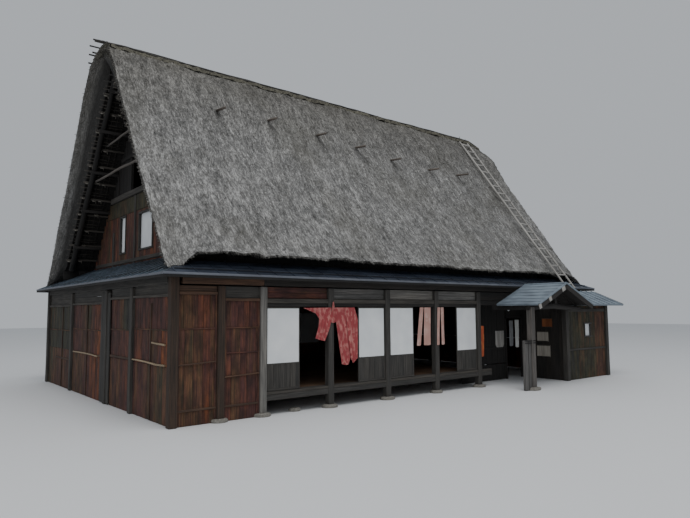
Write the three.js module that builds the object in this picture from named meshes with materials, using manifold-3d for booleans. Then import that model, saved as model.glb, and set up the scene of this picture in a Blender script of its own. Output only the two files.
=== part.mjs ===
// Minka farmhouse with a steep thatched roof, millimetres, +Z up.
// X runs along the long front, Y from the front to the back. Heights count from the lowest ground.
import * as THREE from 'three';
import { mergeVertices } from 'three/addons/utils/BufferGeometryUtils.js';
import Module from 'manifold-3d';

const wasm = await Module();
wasm.setup();

// Driving sizes. Wall lines are x = 0, x = LENGTH, y = 0 and y = WIDTH before the final shift.
const LENGTH = 15000;
const WIDTH = 10000;
const POST = 160;
const CORNER_POST = 170;
const FRONT_POSTS = { post_b: 2000, post_c: 3818, post_d: 5636, post_e: 7454, post_f: 9272 };
const HALF_POST_X = 1000;
const GABLE_POSTS = [2200, 4000, 7200];
const BACK_POSTS = [1818, 3636, 5454, 7272, 9090, 10908, 12726];
const BACK_WINDOWS = [[1980, 3474], [3798, 5292], [7434, 8928], [9252, 10746]];
const GABLE_WINDOWS = [[3900, 4840, 3930, 4900], [5970, 6400, 3930, 4960], [4450, 5550, 5850, 6600]];
const POST_TOP = 2750;
const CORNER_TOP = 2990;
const BOARD = 40;
const GAP = 0.3;

const SILL_BOTTOM = 313;
const SILL_TOP = 498;
const SILL_FRONT_Y = -60;
const SILL_BACK_Y = 200;
const LINTEL_BOTTOM = 2316;
const TRANSOM_BOTTOM = 2500;
const HEAD_FRONT_Y = -40;
const HEAD_BACK_Y = 110;
const FLOOR_BOTTOM = 440;
const ATTIC_FLOOR = [2990, 3050];

const PANEL_WIDTH = 870;
const PANEL_BOTTOM = 504;
const PANEL_TOP = 2310;
const PANEL_PAPER_BOTTOM = 1094;
const PANEL_BACK_Y = 5;
const PANEL_THICK = 30;
const PANELS = { panel_b: 2086, panel_c: 4680, panel_d: 5722, panel_e: 8316 };

const PENT_X = 370;
const PENT_Y = 390;
const PENT_PITCH = 0.44;
const PENT_EDGE = 2870;
const PENT_THICK = 100;
const PENT_INNER = 330;
const GABLE_RECESS = 1000;
const PLATE_END = 150;

const VERGE_NEAR = -150;
const VERGE_FAR = 15050;
const VERGE_RUN = 900;
const END_SAG = 200;
const SAG_START = 14300;
const VERGE_BEVEL = 330;
const RIDGE_Y = WIDTH / 2;
const INNER_EAVE = [1000, 3620];
const INNER_APEX = 8900;
const THATCH_TOP = 9280;
const EAVE_FRONT = [-50, 3450];
const EAVE_DROOP = [[-150, 360], [0, 310], [160, 290], [300, 150], [470, 30], [750, 0], [14300, 0], [14700, 80],
  [15050, 300]];
const OUTER_SLOPE = [[120, 3560], [870, 4470], [1880, 5760], [2860, 7250], [3610, 8430], [4150, 9080]];
const RAFTER_DEPTH = 170;
const RAFTER_WIDTH = 160;
const RAFTERS_X = [320, 1250, 3750, 6250, 8750, 11250, 13750, 14680];
const PURLIN = 110;
const PINS = [[2410, 3060, 7570], [4030, 3100, 7630], [5700, 3010, 7480], [7170, 2920, 7340], [8570, 2780, 7130],
  [10350, 2740, 7060], [11920, 2760, 7100]];
const PIN_REACH = 420;
const LADDER_X = [13430, 13900];
const LADDER_Y = [-450, 3980];
const RUNG_STEP = 400;

const PORCH_RIDGE_X = 11100;
const PORCH_HALF = 1430;
const PORCH_FRONT = -1800;
const PORCH_BACK = -394;
const PORCH_APEX = 3000;
const PORCH_EAVE = 2400;
const PORCH_SHEET = 60;
const PORCH_POST = [9870, -1400];
const BARGE_THICK = 30;

const RECESS_Y = 700;
const ANNEX_X = 12500;
const ANNEX_Y = -900;
const ANNEX_EAVE_Y = -1420;
const ANNEX_RIGHT = 15320;
const ANNEX_SHEET = 60;

const CENTRE_X = LENGTH / 2;
const CENTRE_Y = (WIDTH + PENT_Y + PORCH_FRONT - BARGE_THICK) / 2;

const group = new THREE.Group();

function material(color, roughness, metalness = 0) {
  return new THREE.MeshStandardMaterial({ color, roughness, metalness });
}

const MATERIALS = {
  thatch: material('#8b8276', 0.95),
  old_wood: material('#6d655d', 0.85),
  red_boards: material('#7a5a48', 0.85),
  dark_wood: material('#3f3833', 0.88),
  floor_boards: material('#7d6048', 0.75),
  paper: material('#e4e6e6', 0.85),
  sheet_metal: material('#6f7c88', 0.45, 0.6),
  red_cloth: material('#c4565a', 0.9),
  pink_cloth: material('#c9a79a', 0.9),
  white_cloth: material('#d8d8d4', 0.9),
  orange_cloth: material('#d9683c', 0.9),
};

// Closed mesh from points and triangles, turned outward if its volume is negative.
function meshFrom(points, triangles) {
  let volume = 0;
  for (const [a, b, c] of triangles) {
    const p = points[a];
    const q = points[b];
    const r = points[c];
    volume += p[0] * (q[1] * r[2] - q[2] * r[1]) + p[1] * (q[2] * r[0] - q[0] * r[2])
      + p[2] * (q[0] * r[1] - q[1] * r[0]);
  }
  const geometry = new THREE.BufferGeometry();
  geometry.setAttribute('position', new THREE.Float32BufferAttribute(points.flat(), 3));
  geometry.setIndex(triangles.flatMap(([a, b, c]) => (volume < 0 ? [a, c, b] : [a, b, c])));
  return geometry;
}

// Rings of equal point count joined side by side, closed by two end caps cut in the plane of flat().
function loft(rings, flat) {
  const n = rings[0].length;
  const points = rings.flat();
  const triangles = [];
  for (let s = 0; s + 1 < rings.length; s += 1) {
    for (let i = 0; i < n; i += 1) {
      const a = s * n + i;
      const b = s * n + ((i + 1) % n);
      triangles.push([a, b, b + n], [a, b + n, a + n]);
    }
  }
  const last = (rings.length - 1) * n;
  const contour = rings[0].map((p) => new THREE.Vector2(...flat(p)));
  const ringTurn = Math.sign(THREE.ShapeUtils.area(contour));
  for (const [a, b, c] of THREE.ShapeUtils.triangulateShape(contour, [])) {
    const turn = Math.sign(THREE.ShapeUtils.area([contour[a], contour[b], contour[c]]));
    const [u, v, w] = turn === ringTurn ? [a, b, c] : [a, c, b];
    triangles.push([u, w, v], [last + u, last + v, last + w]);
  }
  return meshFrom(points, triangles);
}

function prismX(profile, x0, x1) {
  const ring = (x) => profile.map(([y, z]) => [x, y, z]);
  return loft([ring(x0), ring(x1)], ([, y, z]) => [y, z]);
}

function prismY(profile, y0, y1) {
  const ring = (y) => profile.map(([x, z]) => [x, y, z]);
  return loft([ring(y0), ring(y1)], ([x, , z]) => [x, z]);
}

function box(x0, x1, y0, y1, z0, z1) {
  return prismX([[y0, z0], [y1, z0], [y1, z1], [y0, z1]], x0, x1);
}

function toManifold(geometry) {
  const plain = new THREE.BufferGeometry();
  plain.setAttribute('position', geometry.getAttribute('position'));
  plain.setIndex(geometry.index);
  const merged = mergeVertices(plain, 1e-3);
  return new wasm.Manifold(new wasm.Mesh({
    numProp: 3,
    vertProperties: new Float32Array(merged.getAttribute('position').array),
    triVerts: new Uint32Array(merged.index.array),
  }));
}

function fromManifold(solid) {
  const mesh = solid.getMesh();
  const geometry = new THREE.BufferGeometry();
  geometry.setAttribute('position', new THREE.BufferAttribute(new Float32Array(mesh.vertProperties), 3));
  geometry.setIndex(new THREE.BufferAttribute(new Uint32Array(mesh.triVerts), 1));
  return geometry;
}

function join(...geometries) {
  return fromManifold(geometries.map(toManifold).reduce((a, b) => a.add(b)));
}

function cut(geometry, ...tools) {
  return fromManifold(tools.map(toManifold).reduce((a, b) => a.subtract(b), toManifold(geometry)));
}

function addNode(name, geometry, materialName) {
  const moved = geometry.clone().translate(-CENTRE_X, -CENTRE_Y, 0).toNonIndexed();
  moved.computeVertexNormals();
  const mesh = new THREE.Mesh(moved, MATERIALS[materialName].clone());
  mesh.name = name;
  group.add(mesh);
}

// A round pole along an axis, faceted with eight sides.
function pole(axis, radius, start, end, at) {
  const profile = [];
  for (let i = 0; i < 8; i += 1) {
    const turn = (i + 0.5) * Math.PI / 4;
    profile.push([at[0] + radius * Math.cos(turn), at[1] + radius * Math.sin(turn)]);
  }
  return axis === 'x' ? prismX(profile, start, end) : prismY(profile, start, end);
}

// Underside height of the pent roofs, a distance in from the wall line.
function pentUnder(inward, reach) {
  return PENT_EDGE + (inward + reach) * PENT_PITCH;
}

// Wall plates seat under the sloping pent roofs.
function plateProfile(reach) {
  return [[-POST / 2, POST_TOP], [POST / 2, POST_TOP],
    [POST / 2, pentUnder(POST / 2, reach) - GAP], [-POST / 2, pentUnder(-POST / 2, reach) - GAP]];
}

// Front posts between the open bays
function frontPosts() {
  for (const [name, x] of Object.entries(FRONT_POSTS)) {
    addNode(name, box(x - POST / 2, x + POST / 2, -POST / 2, POST / 2, 0, POST_TOP), 'old_wood');
  }
}

function postNotches(z0, z1) {
  const half = POST / 2 + GAP;
  return Object.values(FRONT_POSTS).map((x) => box(x - half, x + half, -400, half, z0, z1));
}

// Raised sill beam, notched around the posts
function sillFront() {
  const beam = box(FRONT_POSTS.post_b - 60, FRONT_POSTS.post_f + 560, SILL_FRONT_Y, SILL_BACK_Y,
    SILL_BOTTOM, SILL_TOP);
  addNode('sill_front', cut(beam, ...postNotches(0, 1000)), 'old_wood');
}

// Lintel, transom boards and wall plate of the front in one run
function headFront() {
  const first = FRONT_POSTS.post_b - 60;
  const lintel = box(first, FRONT_POSTS.post_f + POST / 2 + 60, HEAD_FRONT_Y, HEAD_BACK_Y,
    LINTEL_BOTTOM, TRANSOM_BOTTOM);
  const rail = box(first, FRONT_POSTS.post_f + POST / 2 + 60, HEAD_FRONT_Y - 25, HEAD_FRONT_Y + 10, 2395, 2490);
  const transom = box(first, LENGTH - CORNER_POST / 2 - GAP, HEAD_FRONT_Y + 15, HEAD_BACK_Y,
    TRANSOM_BOTTOM - 10, POST_TOP + 10);
  const notched = cut(join(lintel, rail, transom), ...postNotches(0, POST_TOP + GAP));
  const plate = prismX(plateProfile(PENT_Y), PLATE_END, LENGTH - PLATE_END);
  const overPosts = cut(plate, box(0, first, -200, 200, 0, POST_TOP + GAP));
  addNode('head_front', join(notched, overPosts), 'old_wood');
}

// Boarded end of the front wall, from the corner post to the first bay post
function wallFrontLeft() {
  const end = FRONT_POSTS.post_b - POST / 2 - GAP;
  const corner = CORNER_POST / 2;
  const parts = [
    box(-corner, corner, -corner, corner, 0, CORNER_TOP),
    box(HALF_POST_X - POST / 2, HALF_POST_X + POST / 2, -POST / 2, POST / 2, 0, POST_TOP - GAP),
    box(0, end, -BOARD / 2, BOARD / 2, 0, POST_TOP - GAP),
    box(0, HALF_POST_X, -50, 0, 2560, 2620),
    box(HALF_POST_X, end, -50, 0, 2440, 2500),
    pole('x', 20, 60, HALF_POST_X, [-36, 1200]),
    pole('x', 20, HALF_POST_X, end - 10, [-36, 1000]),
  ];
  addNode('wall_front_left', join(...parts), 'red_boards');
}

// Gable ground floor wall of the near end with its posts, rails and bamboo poles
function wallGableLeft() {
  const y0 = CORNER_POST / 2 + GAP;
  const y1 = WIDTH - CORNER_POST / 2 - GAP;
  const rail = prismY([[-50, 2530], [0, 2530], [0, 2600], [-50, 2600]], y0, y1);
  const parts = [box(-BOARD / 2, BOARD / 2, y0, y1, 0, POST_TOP + 10), rail];
  for (const y of GABLE_POSTS) {
    parts.push(box(-POST / 2, POST / 2, y - POST / 2, y + POST / 2, 0, POST_TOP + 10));
  }
  parts.push(box(-50, 0, 3720, 4280, 0, POST_TOP - 150));
  parts.push(pole('y', 22, y0 + 120, 2200, [-38, 1170]));
  parts.push(pole('y', 22, y0 + 120, 1020, [-38, 1570]));
  parts.push(pole('y', 22, 4440, 7100, [-38, 1120]));
  const plate = prismY(plateProfile(PENT_X), PLATE_END, WIDTH - PLATE_END);
  addNode('wall_gable_left', join(...parts, plate), 'red_boards');
}

// Far gable wall, which also closes the side of the annex
function wallGableRight() {
  const y0 = CORNER_POST / 2 + GAP;
  const y1 = WIDTH - CORNER_POST / 2 - GAP;
  const corner = CORNER_POST / 2;
  const annexTop = annexUnder(ANNEX_Y + 60) - GAP;
  const parts = [
    box(LENGTH - BOARD / 2, LENGTH + BOARD / 2, 0, y1, 0, POST_TOP + 10),
    box(LENGTH - corner, LENGTH + corner, -corner, corner, 0, CORNER_TOP),
    prismX([[ANNEX_Y + 90, 0], [0, 0], [0, 2700], [-400, 2700], [ANNEX_Y + 90, annexTop]],
      LENGTH - BOARD / 2, LENGTH + BOARD / 2),
    prismY([[LENGTH, 2530], [LENGTH + 50, 2530], [LENGTH + 50, 2600], [LENGTH, 2600]], y0, y1),
  ];
  for (const y of GABLE_POSTS) {
    parts.push(box(LENGTH - POST / 2, LENGTH + POST / 2, y - POST / 2, y + POST / 2, 0, POST_TOP + 10));
  }
  const plate = plateProfile(PENT_X).map(([x, z]) => [LENGTH - x, z]);
  addNode('wall_gable_right', join(...parts, prismY(plate, PLATE_END, WIDTH - PLATE_END)), 'red_boards');
}

// Back wall with posts, four windows cut through and its plate
function wallBack() {
  const corner = CORNER_POST / 2;
  const parts = [
    box(0, LENGTH, WIDTH - BOARD / 2, WIDTH + BOARD / 2, 0, POST_TOP + 10),
    box(0, LENGTH, WIDTH, WIDTH + 50, 2530, 2600),
    box(0, LENGTH, WIDTH, WIDTH + 50, 820, 890),
  ];
  for (const x of [0, LENGTH]) {
    parts.push(box(x - corner, x + corner, WIDTH - corner, WIDTH + corner, 0, CORNER_TOP));
  }
  for (const x of BACK_POSTS) {
    parts.push(box(x - POST / 2, x + POST / 2, WIDTH - POST / 2, WIDTH + POST / 2, 0, POST_TOP + 10));
  }
  const plate = plateProfile(PENT_Y).map(([y, z]) => [WIDTH - y, z]);
  const solid = join(...parts, prismX(plate, PLATE_END, LENGTH - PLATE_END));
  const windows = BACK_WINDOWS.map(([x0, x1]) => box(x0, x1, WIDTH - 300, WIDTH + 300, 900, 2100));
  addNode('wall_back', cut(solid, ...windows), 'red_boards');
}

// One paper sheet behind the back windows
function paperBack() {
  const y = WIDTH - POST / 2 - GAP;
  addNode('paper_back', box(1900, 10826, y - 10, y, 850, 2150), 'paper');
}

// Raised floor over the crawl space and the attic floor on the plates
function floors() {
  const raised = box(60 + GAP, FRONT_POSTS.post_f - POST / 2 - GAP, SILL_BACK_Y + GAP,
    WIDTH - CORNER_POST / 2 - GAP, FLOOR_BOTTOM, SILL_TOP);
  const holes = GABLE_POSTS.map((y) => box(0, POST / 2 + GAP, y - POST / 2 - GAP, y + POST / 2 + GAP, 0, 1000));
  addNode('floor_deck', cut(raised, ...holes), 'floor_boards');
  const inset = POST / 2 + GAP;
  addNode('attic_floor', box(inset, LENGTH - inset, HEAD_BACK_Y + GAP, WIDTH - inset, ...ATTIC_FLOOR), 'floor_boards');
}

// Sliding panel: a frame with thin paper above and boards below
function slidingPanel(name, x0) {
  const x1 = x0 + PANEL_WIDTH;
  const y1 = PANEL_BACK_Y;
  const y0 = y1 - PANEL_THICK;
  const solid = box(x0, x1, y0, y1, PANEL_BOTTOM, PANEL_TOP);
  const stile = 32;
  const paper = [PANEL_PAPER_BOTTOM, PANEL_TOP - 42];
  const boards = [PANEL_BOTTOM + 60, PANEL_PAPER_BOTTOM - 40];
  const pockets = [];
  for (const [z0, z1] of [paper, boards]) {
    pockets.push(box(x0 + stile, x1 - stile, y0 - 10, y0 + 9, z0, z1));
    pockets.push(box(x0 + stile, x1 - stile, y1 - 9, y1 + 10, z0, z1));
  }
  addNode(name, cut(solid, ...pockets), 'paper');
}

// Pent roof on one side, as a hipped slab: plan corners go round, heights follow the pitch
function pentSlab(name, plan, inward) {
  const ring = (lift) => plan.map(([x, y]) => [x, y, PENT_EDGE + lift + inward(x, y) * PENT_PITCH]);
  addNode(name, loft([ring(0), ring(PENT_THICK)], ([x, y]) => [x, y]), 'sheet_metal');
}

function pentRoofs() {
  const g = GAP;
  const x0 = -PENT_X;
  const x1 = LENGTH + PENT_X;
  const y0 = -PENT_Y;
  const y1 = WIDTH + PENT_Y;
  const inY = PENT_INNER - y0;
  const inX = GABLE_RECESS + PENT_X;
  pentSlab('pent_front', [[x0, y0], [x1, y0], [x1 - inY, y0 + inY], [x0 + inY, y0 + inY]], (x, y) => y - y0);
  pentSlab('pent_back', [[x0, y1], [x0 + inY, y1 - inY], [x1 - inY, y1 - inY], [x1, y1]], (x, y) => y1 - y);
  pentSlab('pent_left', [[x0, y0 + g], [x0 + inX, y0 + inX + g], [x0 + inX, y1 - inX - g], [x0, y1 - g]],
    (x) => x - x0);
  pentSlab('pent_right', [[x1, y0 + g], [x1, y1 - g], [x1 - inX, y1 - inX - g], [x1 - inX, y0 + inX + g]],
    (x) => x1 - x);
}

// How far the ridge has sunk at a station near its far end
function sag(x) {
  return END_SAG * Math.max(0, x - SAG_START) / (VERGE_FAR - SAG_START);
}

// Inner edge of the thatch stands back from the outer one towards both verges
function bevel(x) {
  const near = Math.max(0, 1 - (x - VERGE_NEAR) / VERGE_RUN);
  const far = Math.max(0, 1 - (VERGE_FAR - x) / VERGE_RUN);
  return VERGE_BEVEL * (near - far);
}

// Cross-section of the front thatch slab at one station of its length
function thatchSection(x, droop) {
  const slope = OUTER_SLOPE.map(([y, z], i) => [y, z - droop * Math.max(0, 1 - y / 1500)
    - (i === OUTER_SLOPE.length - 1 ? sag(x) : 0)]);
  const outer = [[EAVE_FRONT[0], EAVE_FRONT[1] - droop], ...slope, [RIDGE_Y, THATCH_TOP - sag(x)]];
  const inner = [[RIDGE_Y, INNER_APEX], INNER_EAVE, [450, 3460 - 0.45 * droop]];
  return [...outer.map(([y, z]) => [x, y, z]), ...inner.map(([y, z]) => [x + bevel(x), y, z])];
}

function thatchSlab(mirror) {
  const rings = EAVE_DROOP.map(([x, droop]) => thatchSection(x, droop)
    .map(([a, y, z]) => [a, mirror ? WIDTH - y : y, z]));
  return loft(rings, ([, y, z]) => [y, z]);
}

// Pin stub that stands out of the upper slope, joined to the thatch that holds it
function pinStub([x, y, z]) {
  return prismX([[y - PIN_REACH, z - 30], [y + 350, z + 20], [y + 350, z + 100], [y - PIN_REACH, z + 50]],
    x - 40, x + 40);
}

function thatch() {
  addNode('thatch_front', join(thatchSlab(false), ...PINS.map(pinStub)), 'thatch');
  addNode('thatch_back', thatchSlab(true), 'thatch');
}

// Rounded cap of cut thatch along the ridge, sunk with it at the far end
function ridgeCap() {
  const low = THATCH_TOP + GAP;
  const half = [[0, low + 170], [350, low + 130], [620, low + 10], [860, low - 200]];
  const edge = [850, low - 200];
  const right = [...half, edge].map(([d, z]) => [RIDGE_Y + d, z]);
  const left = [edge, ...half.slice(1).reverse()].map(([d, z]) => [RIDGE_Y - d, z]);
  const profile = [...right, [RIDGE_Y, low], ...left];
  const rings = [VERGE_NEAR + 60, SAG_START, VERGE_FAR - 60].map((x) => profile.map(([y, z]) => [x, y, z - sag(x)]));
  addNode('ridge_cap', loft(rings, ([, y, z]) => [y, z]), 'thatch');
}

// Rafters of one slope joined by their purlins, a flat lattice just under the thatch
function rafterLattice(name, mirror) {
  const [y0, z0] = INNER_EAVE;
  const run = RIDGE_Y - y0;
  const rise = INNER_APEX - z0;
  const length = Math.hypot(run, rise);
  const across = [rise / length, -run / length];
  const along = [run / length, rise / length];
  const at = (s, d) => [y0 + along[0] * s + across[0] * (d + GAP), z0 + along[1] * s + across[1] * (d + GAP)];
  const top = RIDGE_Y - GAP / 2;
  const lineAtY = (y, d) => {
    const [py, pz] = at(0, d);
    return pz + (y - py) * (rise / run);
  };
  const lineAtZ = (z, d) => {
    const [py, pz] = at(0, d);
    return py + (z - pz) * (run / rise);
  };
  const flip = (points) => points.map(([y, z]) => [mirror ? WIDTH - y : y, z]);
  const parts = RAFTERS_X.map((x) => {
    const foot = rafterFoot(x);
    const profile = [[lineAtZ(foot, 0), foot], [lineAtZ(foot, RAFTER_DEPTH), foot],
      [top, lineAtY(top, RAFTER_DEPTH)], [top, lineAtY(top, 0)]];
    return prismX(flip(profile), x - RAFTER_WIDTH / 2, x + RAFTER_WIDTH / 2);
  });
  for (const s of [900, 2200, 3500, 4800, 6000]) {
    const square = [at(s, 20), at(s + PURLIN, 20), at(s + PURLIN, 20 + PURLIN), at(s, 20 + PURLIN)];
    parts.push(prismX(flip(square), 230, LENGTH - 180));
  }
  addNode(name, join(...parts), 'dark_wood');
}

// Rafters stand on the attic floor, and outside the gable walls on the pent roof
function rafterFoot(x) {
  const inward = Math.min(x, LENGTH - x) + RAFTER_WIDTH / 2;
  const outside = inward < GABLE_RECESS;
  return GAP + (outside ? pentUnder(inward, PENT_X) + PENT_THICK : ATTIC_FLOOR[1]);
}

// Recessed boarded gable above the pent roof, with windows, a smoke vent and a light tie beam
function gableUpper(name, mirror) {
  const x0 = GABLE_RECESS + GAP;
  const flip = (x) => (mirror ? LENGTH - x : x);
  const span = (a, b, y0, y1, z0, z1) => box(Math.min(flip(a), flip(b)), Math.max(flip(a), flip(b)), y0, y1, z0, z1);
  const pitch = (INNER_APEX - INNER_EAVE[1]) / (RIDGE_Y - INNER_EAVE[0]);
  const inset = 260;
  const base = ATTIC_FLOOR[1] + GAP;
  const edge = (z) => INNER_EAVE[0] + (z - INNER_EAVE[1]) / pitch + inset;
  const outline = [[edge(base), base], [WIDTH - edge(base), base], [RIDGE_Y, base + (RIDGE_Y - edge(base)) * pitch]];
  const wall = prismX(outline, Math.min(flip(x0), flip(x0 + 60)), Math.max(flip(x0), flip(x0 + 60)));
  const beam = span(x0 - 60, x0 + 30, edge(5580) + 120, WIDTH - edge(5580) - 120, 5490, 5650);
  const holes = GABLE_WINDOWS.map(([y0, y1, z0, z1]) => span(0, 2000, y0, y1, z0, z1));
  addNode(name, cut(join(wall, beam), ...holes), 'red_boards');
}

// One paper sheet behind the two gable windows
function paperGable(name, mirror) {
  const x = GABLE_RECESS + 60 + 2 * GAP;
  const x0 = mirror ? LENGTH - x - 10 : x;
  addNode(name, box(x0, x0 + 10, 3820, 6480, 3860, 5030), 'paper');
}

// Entrance: recessed side wall and back wall with a doorway cut through
function recessWalls() {
  const x = FRONT_POSTS.post_f;
  addNode('wall_recess_left', box(x - BOARD / 2, x + BOARD / 2, HEAD_BACK_Y + 100, RECESS_Y - BOARD / 2 - GAP,
    SILL_TOP + GAP, POST_TOP - GAP), 'dark_wood');
  const back = box(x - BOARD / 2, ANNEX_X - BOARD / 2 - GAP, RECESS_Y - BOARD / 2, RECESS_Y + BOARD / 2,
    0, CORNER_TOP - GAP);
  const deckSlot = box(0, FRONT_POSTS.post_f - POST / 2 + 60, 0, WIDTH, 0, SILL_TOP + GAP);
  const door = box(11600, 12400, 0, 2000, -100, 1950);
  addNode('wall_recess_back', cut(back, door, deckSlot), 'dark_wood');
}

function annexUnder(y) {
  return PORCH_EAVE - ANNEX_SHEET + (y - ANNEX_EAVE_Y) * PENT_PITCH;
}

function porchUnder(x) {
  return PORCH_APEX - PORCH_SHEET - Math.abs(x - PORCH_RIDGE_X) * (PORCH_APEX - PORCH_EAVE) / PORCH_HALF;
}

// Annex beside the entrance: side wall with bare boards, front wall with posts and a window
function annexWalls() {
  const low = porchUnder(ANNEX_X + BOARD / 2) - GAP;
  const high = TRANSOM_BOTTOM - 11;
  const start = ANNEX_Y + POST / 2 + GAP;
  const end = RECESS_Y + BOARD / 2;
  const side = [prismX([[start, 0], [end, 0], [end, high], [PORCH_BACK + GAP, high], [PORCH_BACK + GAP, low],
    [start, low]], ANNEX_X - BOARD / 2, ANNEX_X + BOARD / 2)];
  side.push(box(ANNEX_X - 45, ANNEX_X, -300, 100, 1190, 1520));
  side.push(box(ANNEX_X - 45, ANNEX_X, -360, 120, 700, 1080));
  side.push(box(ANNEX_X - 40, ANNEX_X, -450, -100, 1650, 1950));
  addNode('wall_annex_left', join(...side), 'dark_wood');
  const y0 = ANNEX_Y - BOARD / 2;
  const y1 = ANNEX_Y + BOARD / 2;
  const board = prismX([[y0, 0], [y1, 0], [y1, annexUnder(y1) - GAP], [y0, annexUnder(y0) - GAP]], ANNEX_X, LENGTH);
  const front = [board];
  for (const x of [ANNEX_X, LENGTH]) {
    const a = ANNEX_Y - POST / 2;
    const b = ANNEX_Y + POST / 2;
    front.push(prismX([[a, 0], [b, 0], [b, annexUnder(b) - GAP], [a, annexUnder(a) - GAP]], x - POST / 2, x + POST / 2));
  }
  const window = box(13620, 14000, -2000, 0, 1350, 1770);
  const underPorch = box(ANNEX_X - 200, PORCH_RIDGE_X + PORCH_HALF + GAP, -2000, 0,
    porchUnder(PORCH_RIDGE_X + PORCH_HALF) - GAP, 4000);
  addNode('wall_annex_front', cut(join(...front), window, underPorch), 'dark_wood');
  addNode('paper_annex', box(13570, 14050, y1 + GAP, y1 + GAP + 10, 1300, 1820), 'paper');
}

// Lean-to roof of the annex and the small gabled porch roof
function smallRoofs() {
  const z = (y) => annexUnder(y) + ANNEX_SHEET;
  addNode('annex_roof', prismX([[ANNEX_EAVE_Y, z(ANNEX_EAVE_Y) - ANNEX_SHEET], [PORCH_BACK, z(PORCH_BACK) - ANNEX_SHEET],
    [PORCH_BACK, z(PORCH_BACK)], [ANNEX_EAVE_Y, z(ANNEX_EAVE_Y)]], PORCH_RIDGE_X + PORCH_HALF + GAP, ANNEX_RIGHT),
  'sheet_metal');
  const left = PORCH_RIDGE_X - PORCH_HALF;
  const right = PORCH_RIDGE_X + PORCH_HALF;
  const vee = (drop) => [[left, PORCH_EAVE - drop], [PORCH_RIDGE_X, PORCH_APEX - drop], [right, PORCH_EAVE - drop]];
  const roof = [...vee(0), ...vee(PORCH_SHEET).reverse()];
  addNode('porch_roof', prismY(roof, PORCH_FRONT, PORCH_BACK), 'sheet_metal');
  const barge = [...vee(-30), ...vee(170).reverse()];
  addNode('porch_bargeboard', prismY(barge, PORCH_FRONT - BARGE_THICK, PORCH_FRONT - GAP), 'old_wood');
}

// Porch post with its head beams and the ridge beam they carry
function porchFrame() {
  const [px, py] = PORCH_POST;
  const top = 2200;
  const under = (x) => porchUnder(x) - GAP;
  const right = ANNEX_X - POST / 2 - GAP;
  const wedge = (x0, x1, z0) => [[x0, z0], [x1, z0], [x1, under(x1)], [x0, under(x0)]];
  const parts = [
    box(px - 90, px + 90, py - 90, py + 90, 0, top + 50),
    box(px - 170, px + 170, py - 170, py + 170, 0, 90),
    box(px - 380, px - 80, py - 50, py + 50, 0, 1370),
    box(px - 120, right, py - 70, py + 70, top, top + 150),
    prismY(wedge(px - 60, px + 60, top), py - 70, -HEAD_BACK_Y),
    box(right - 60, right + 60, py - 70, ANNEX_Y - POST / 2 - GAP, top, top + 130),
    prismY([[PORCH_RIDGE_X - 60, top + 100], [PORCH_RIDGE_X + 60, top + 100],
      [PORCH_RIDGE_X + 60, under(PORCH_RIDGE_X + 60)], [PORCH_RIDGE_X, under(PORCH_RIDGE_X)],
      [PORCH_RIDGE_X - 60, under(PORCH_RIDGE_X - 60)]], py - 60, py + 60),
    prismY([[PORCH_RIDGE_X - 60, 2760], [PORCH_RIDGE_X + 60, 2760],
      [PORCH_RIDGE_X + 60, under(PORCH_RIDGE_X + 60)], [PORCH_RIDGE_X, under(PORCH_RIDGE_X)],
      [PORCH_RIDGE_X - 60, under(PORCH_RIDGE_X - 60)]], py - 60, PORCH_BACK),
  ];
  addNode('porch_frame', join(...parts), 'old_wood');
}

// Straight ladder that leans on the eave and the shoulder of the front slope
function ladder() {
  const [ya, za] = EAVE_FRONT;
  const [yb, zb] = OUTER_SLOPE[4];
  const n = Math.hypot(yb - ya, zb - za);
  const along = [(yb - ya) / n, (zb - za) / n];
  const at = (s, d) => [ya + along[0] * s - along[1] * d, za + along[1] * s + along[0] * d];
  const [start, end] = LADDER_Y.map((y) => (y - ya) / along[0]);
  const profile = [at(start, GAP), at(end, GAP), at(end, 65), at(start, 65)];
  const parts = LADDER_X.map((x) => prismX(profile, x - 32, x + 32));
  const steps = Math.round((end - start) / RUNG_STEP);
  for (let k = 0; k < steps; k += 1) {
    const rung = at(start + (end - start) * (k + 0.5) / steps, 40);
    parts.push(pole('x', 18, LADDER_X[0], LADDER_X[1], rung));
  }
  addNode('ladder', join(...parts), 'old_wood');
}

// Cloth hangings as plain closed solids in their places
function cloths() {
  const y = -POST / 2 - GAP;
  addNode('noren_red', box(2980, 4620, y - 40, y, 920, 2310), 'red_cloth');
  addNode('noren_pink_left', box(6700, 7230, y, HEAD_FRONT_Y - GAP, 1280, 2340), 'pink_cloth');
  addNode('noren_pink_right', box(7400, 7730, y - 40, y, 1280, 2310), 'pink_cloth');
  const side = FRONT_POSTS.post_f + POST / 2 + GAP;
  addNode('banner', box(side, side + 220, -20, 20, 860, 1760), 'orange_cloth');
  const wall = RECESS_Y - BOARD / 2 - GAP;
  addNode('door_cloth', box(11620, 12380, wall - 40, wall, 900, 2000), 'white_cloth');
}

frontPosts();
sillFront();
headFront();
wallFrontLeft();
wallGableLeft();
wallGableRight();
wallBack();
paperBack();
floors();
for (const [name, x] of Object.entries(PANELS)) {
  slidingPanel(name, x);
}
pentRoofs();
thatch();
ridgeCap();
rafterLattice('rafters_front', false);
rafterLattice('rafters_back', true);
gableUpper('gable_upper_left', false);
gableUpper('gable_upper_right', true);
paperGable('paper_gable_left', false);
paperGable('paper_gable_right', true);
recessWalls();
annexWalls();
smallRoofs();
porchFrame();
ladder();
cloths();

export default group;
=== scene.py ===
"""Looks of a thatched minka farmhouse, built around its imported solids, in metres."""
import math
import random

import bpy
import numpy as np
from mathutils import Matrix, Vector, noise


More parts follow.
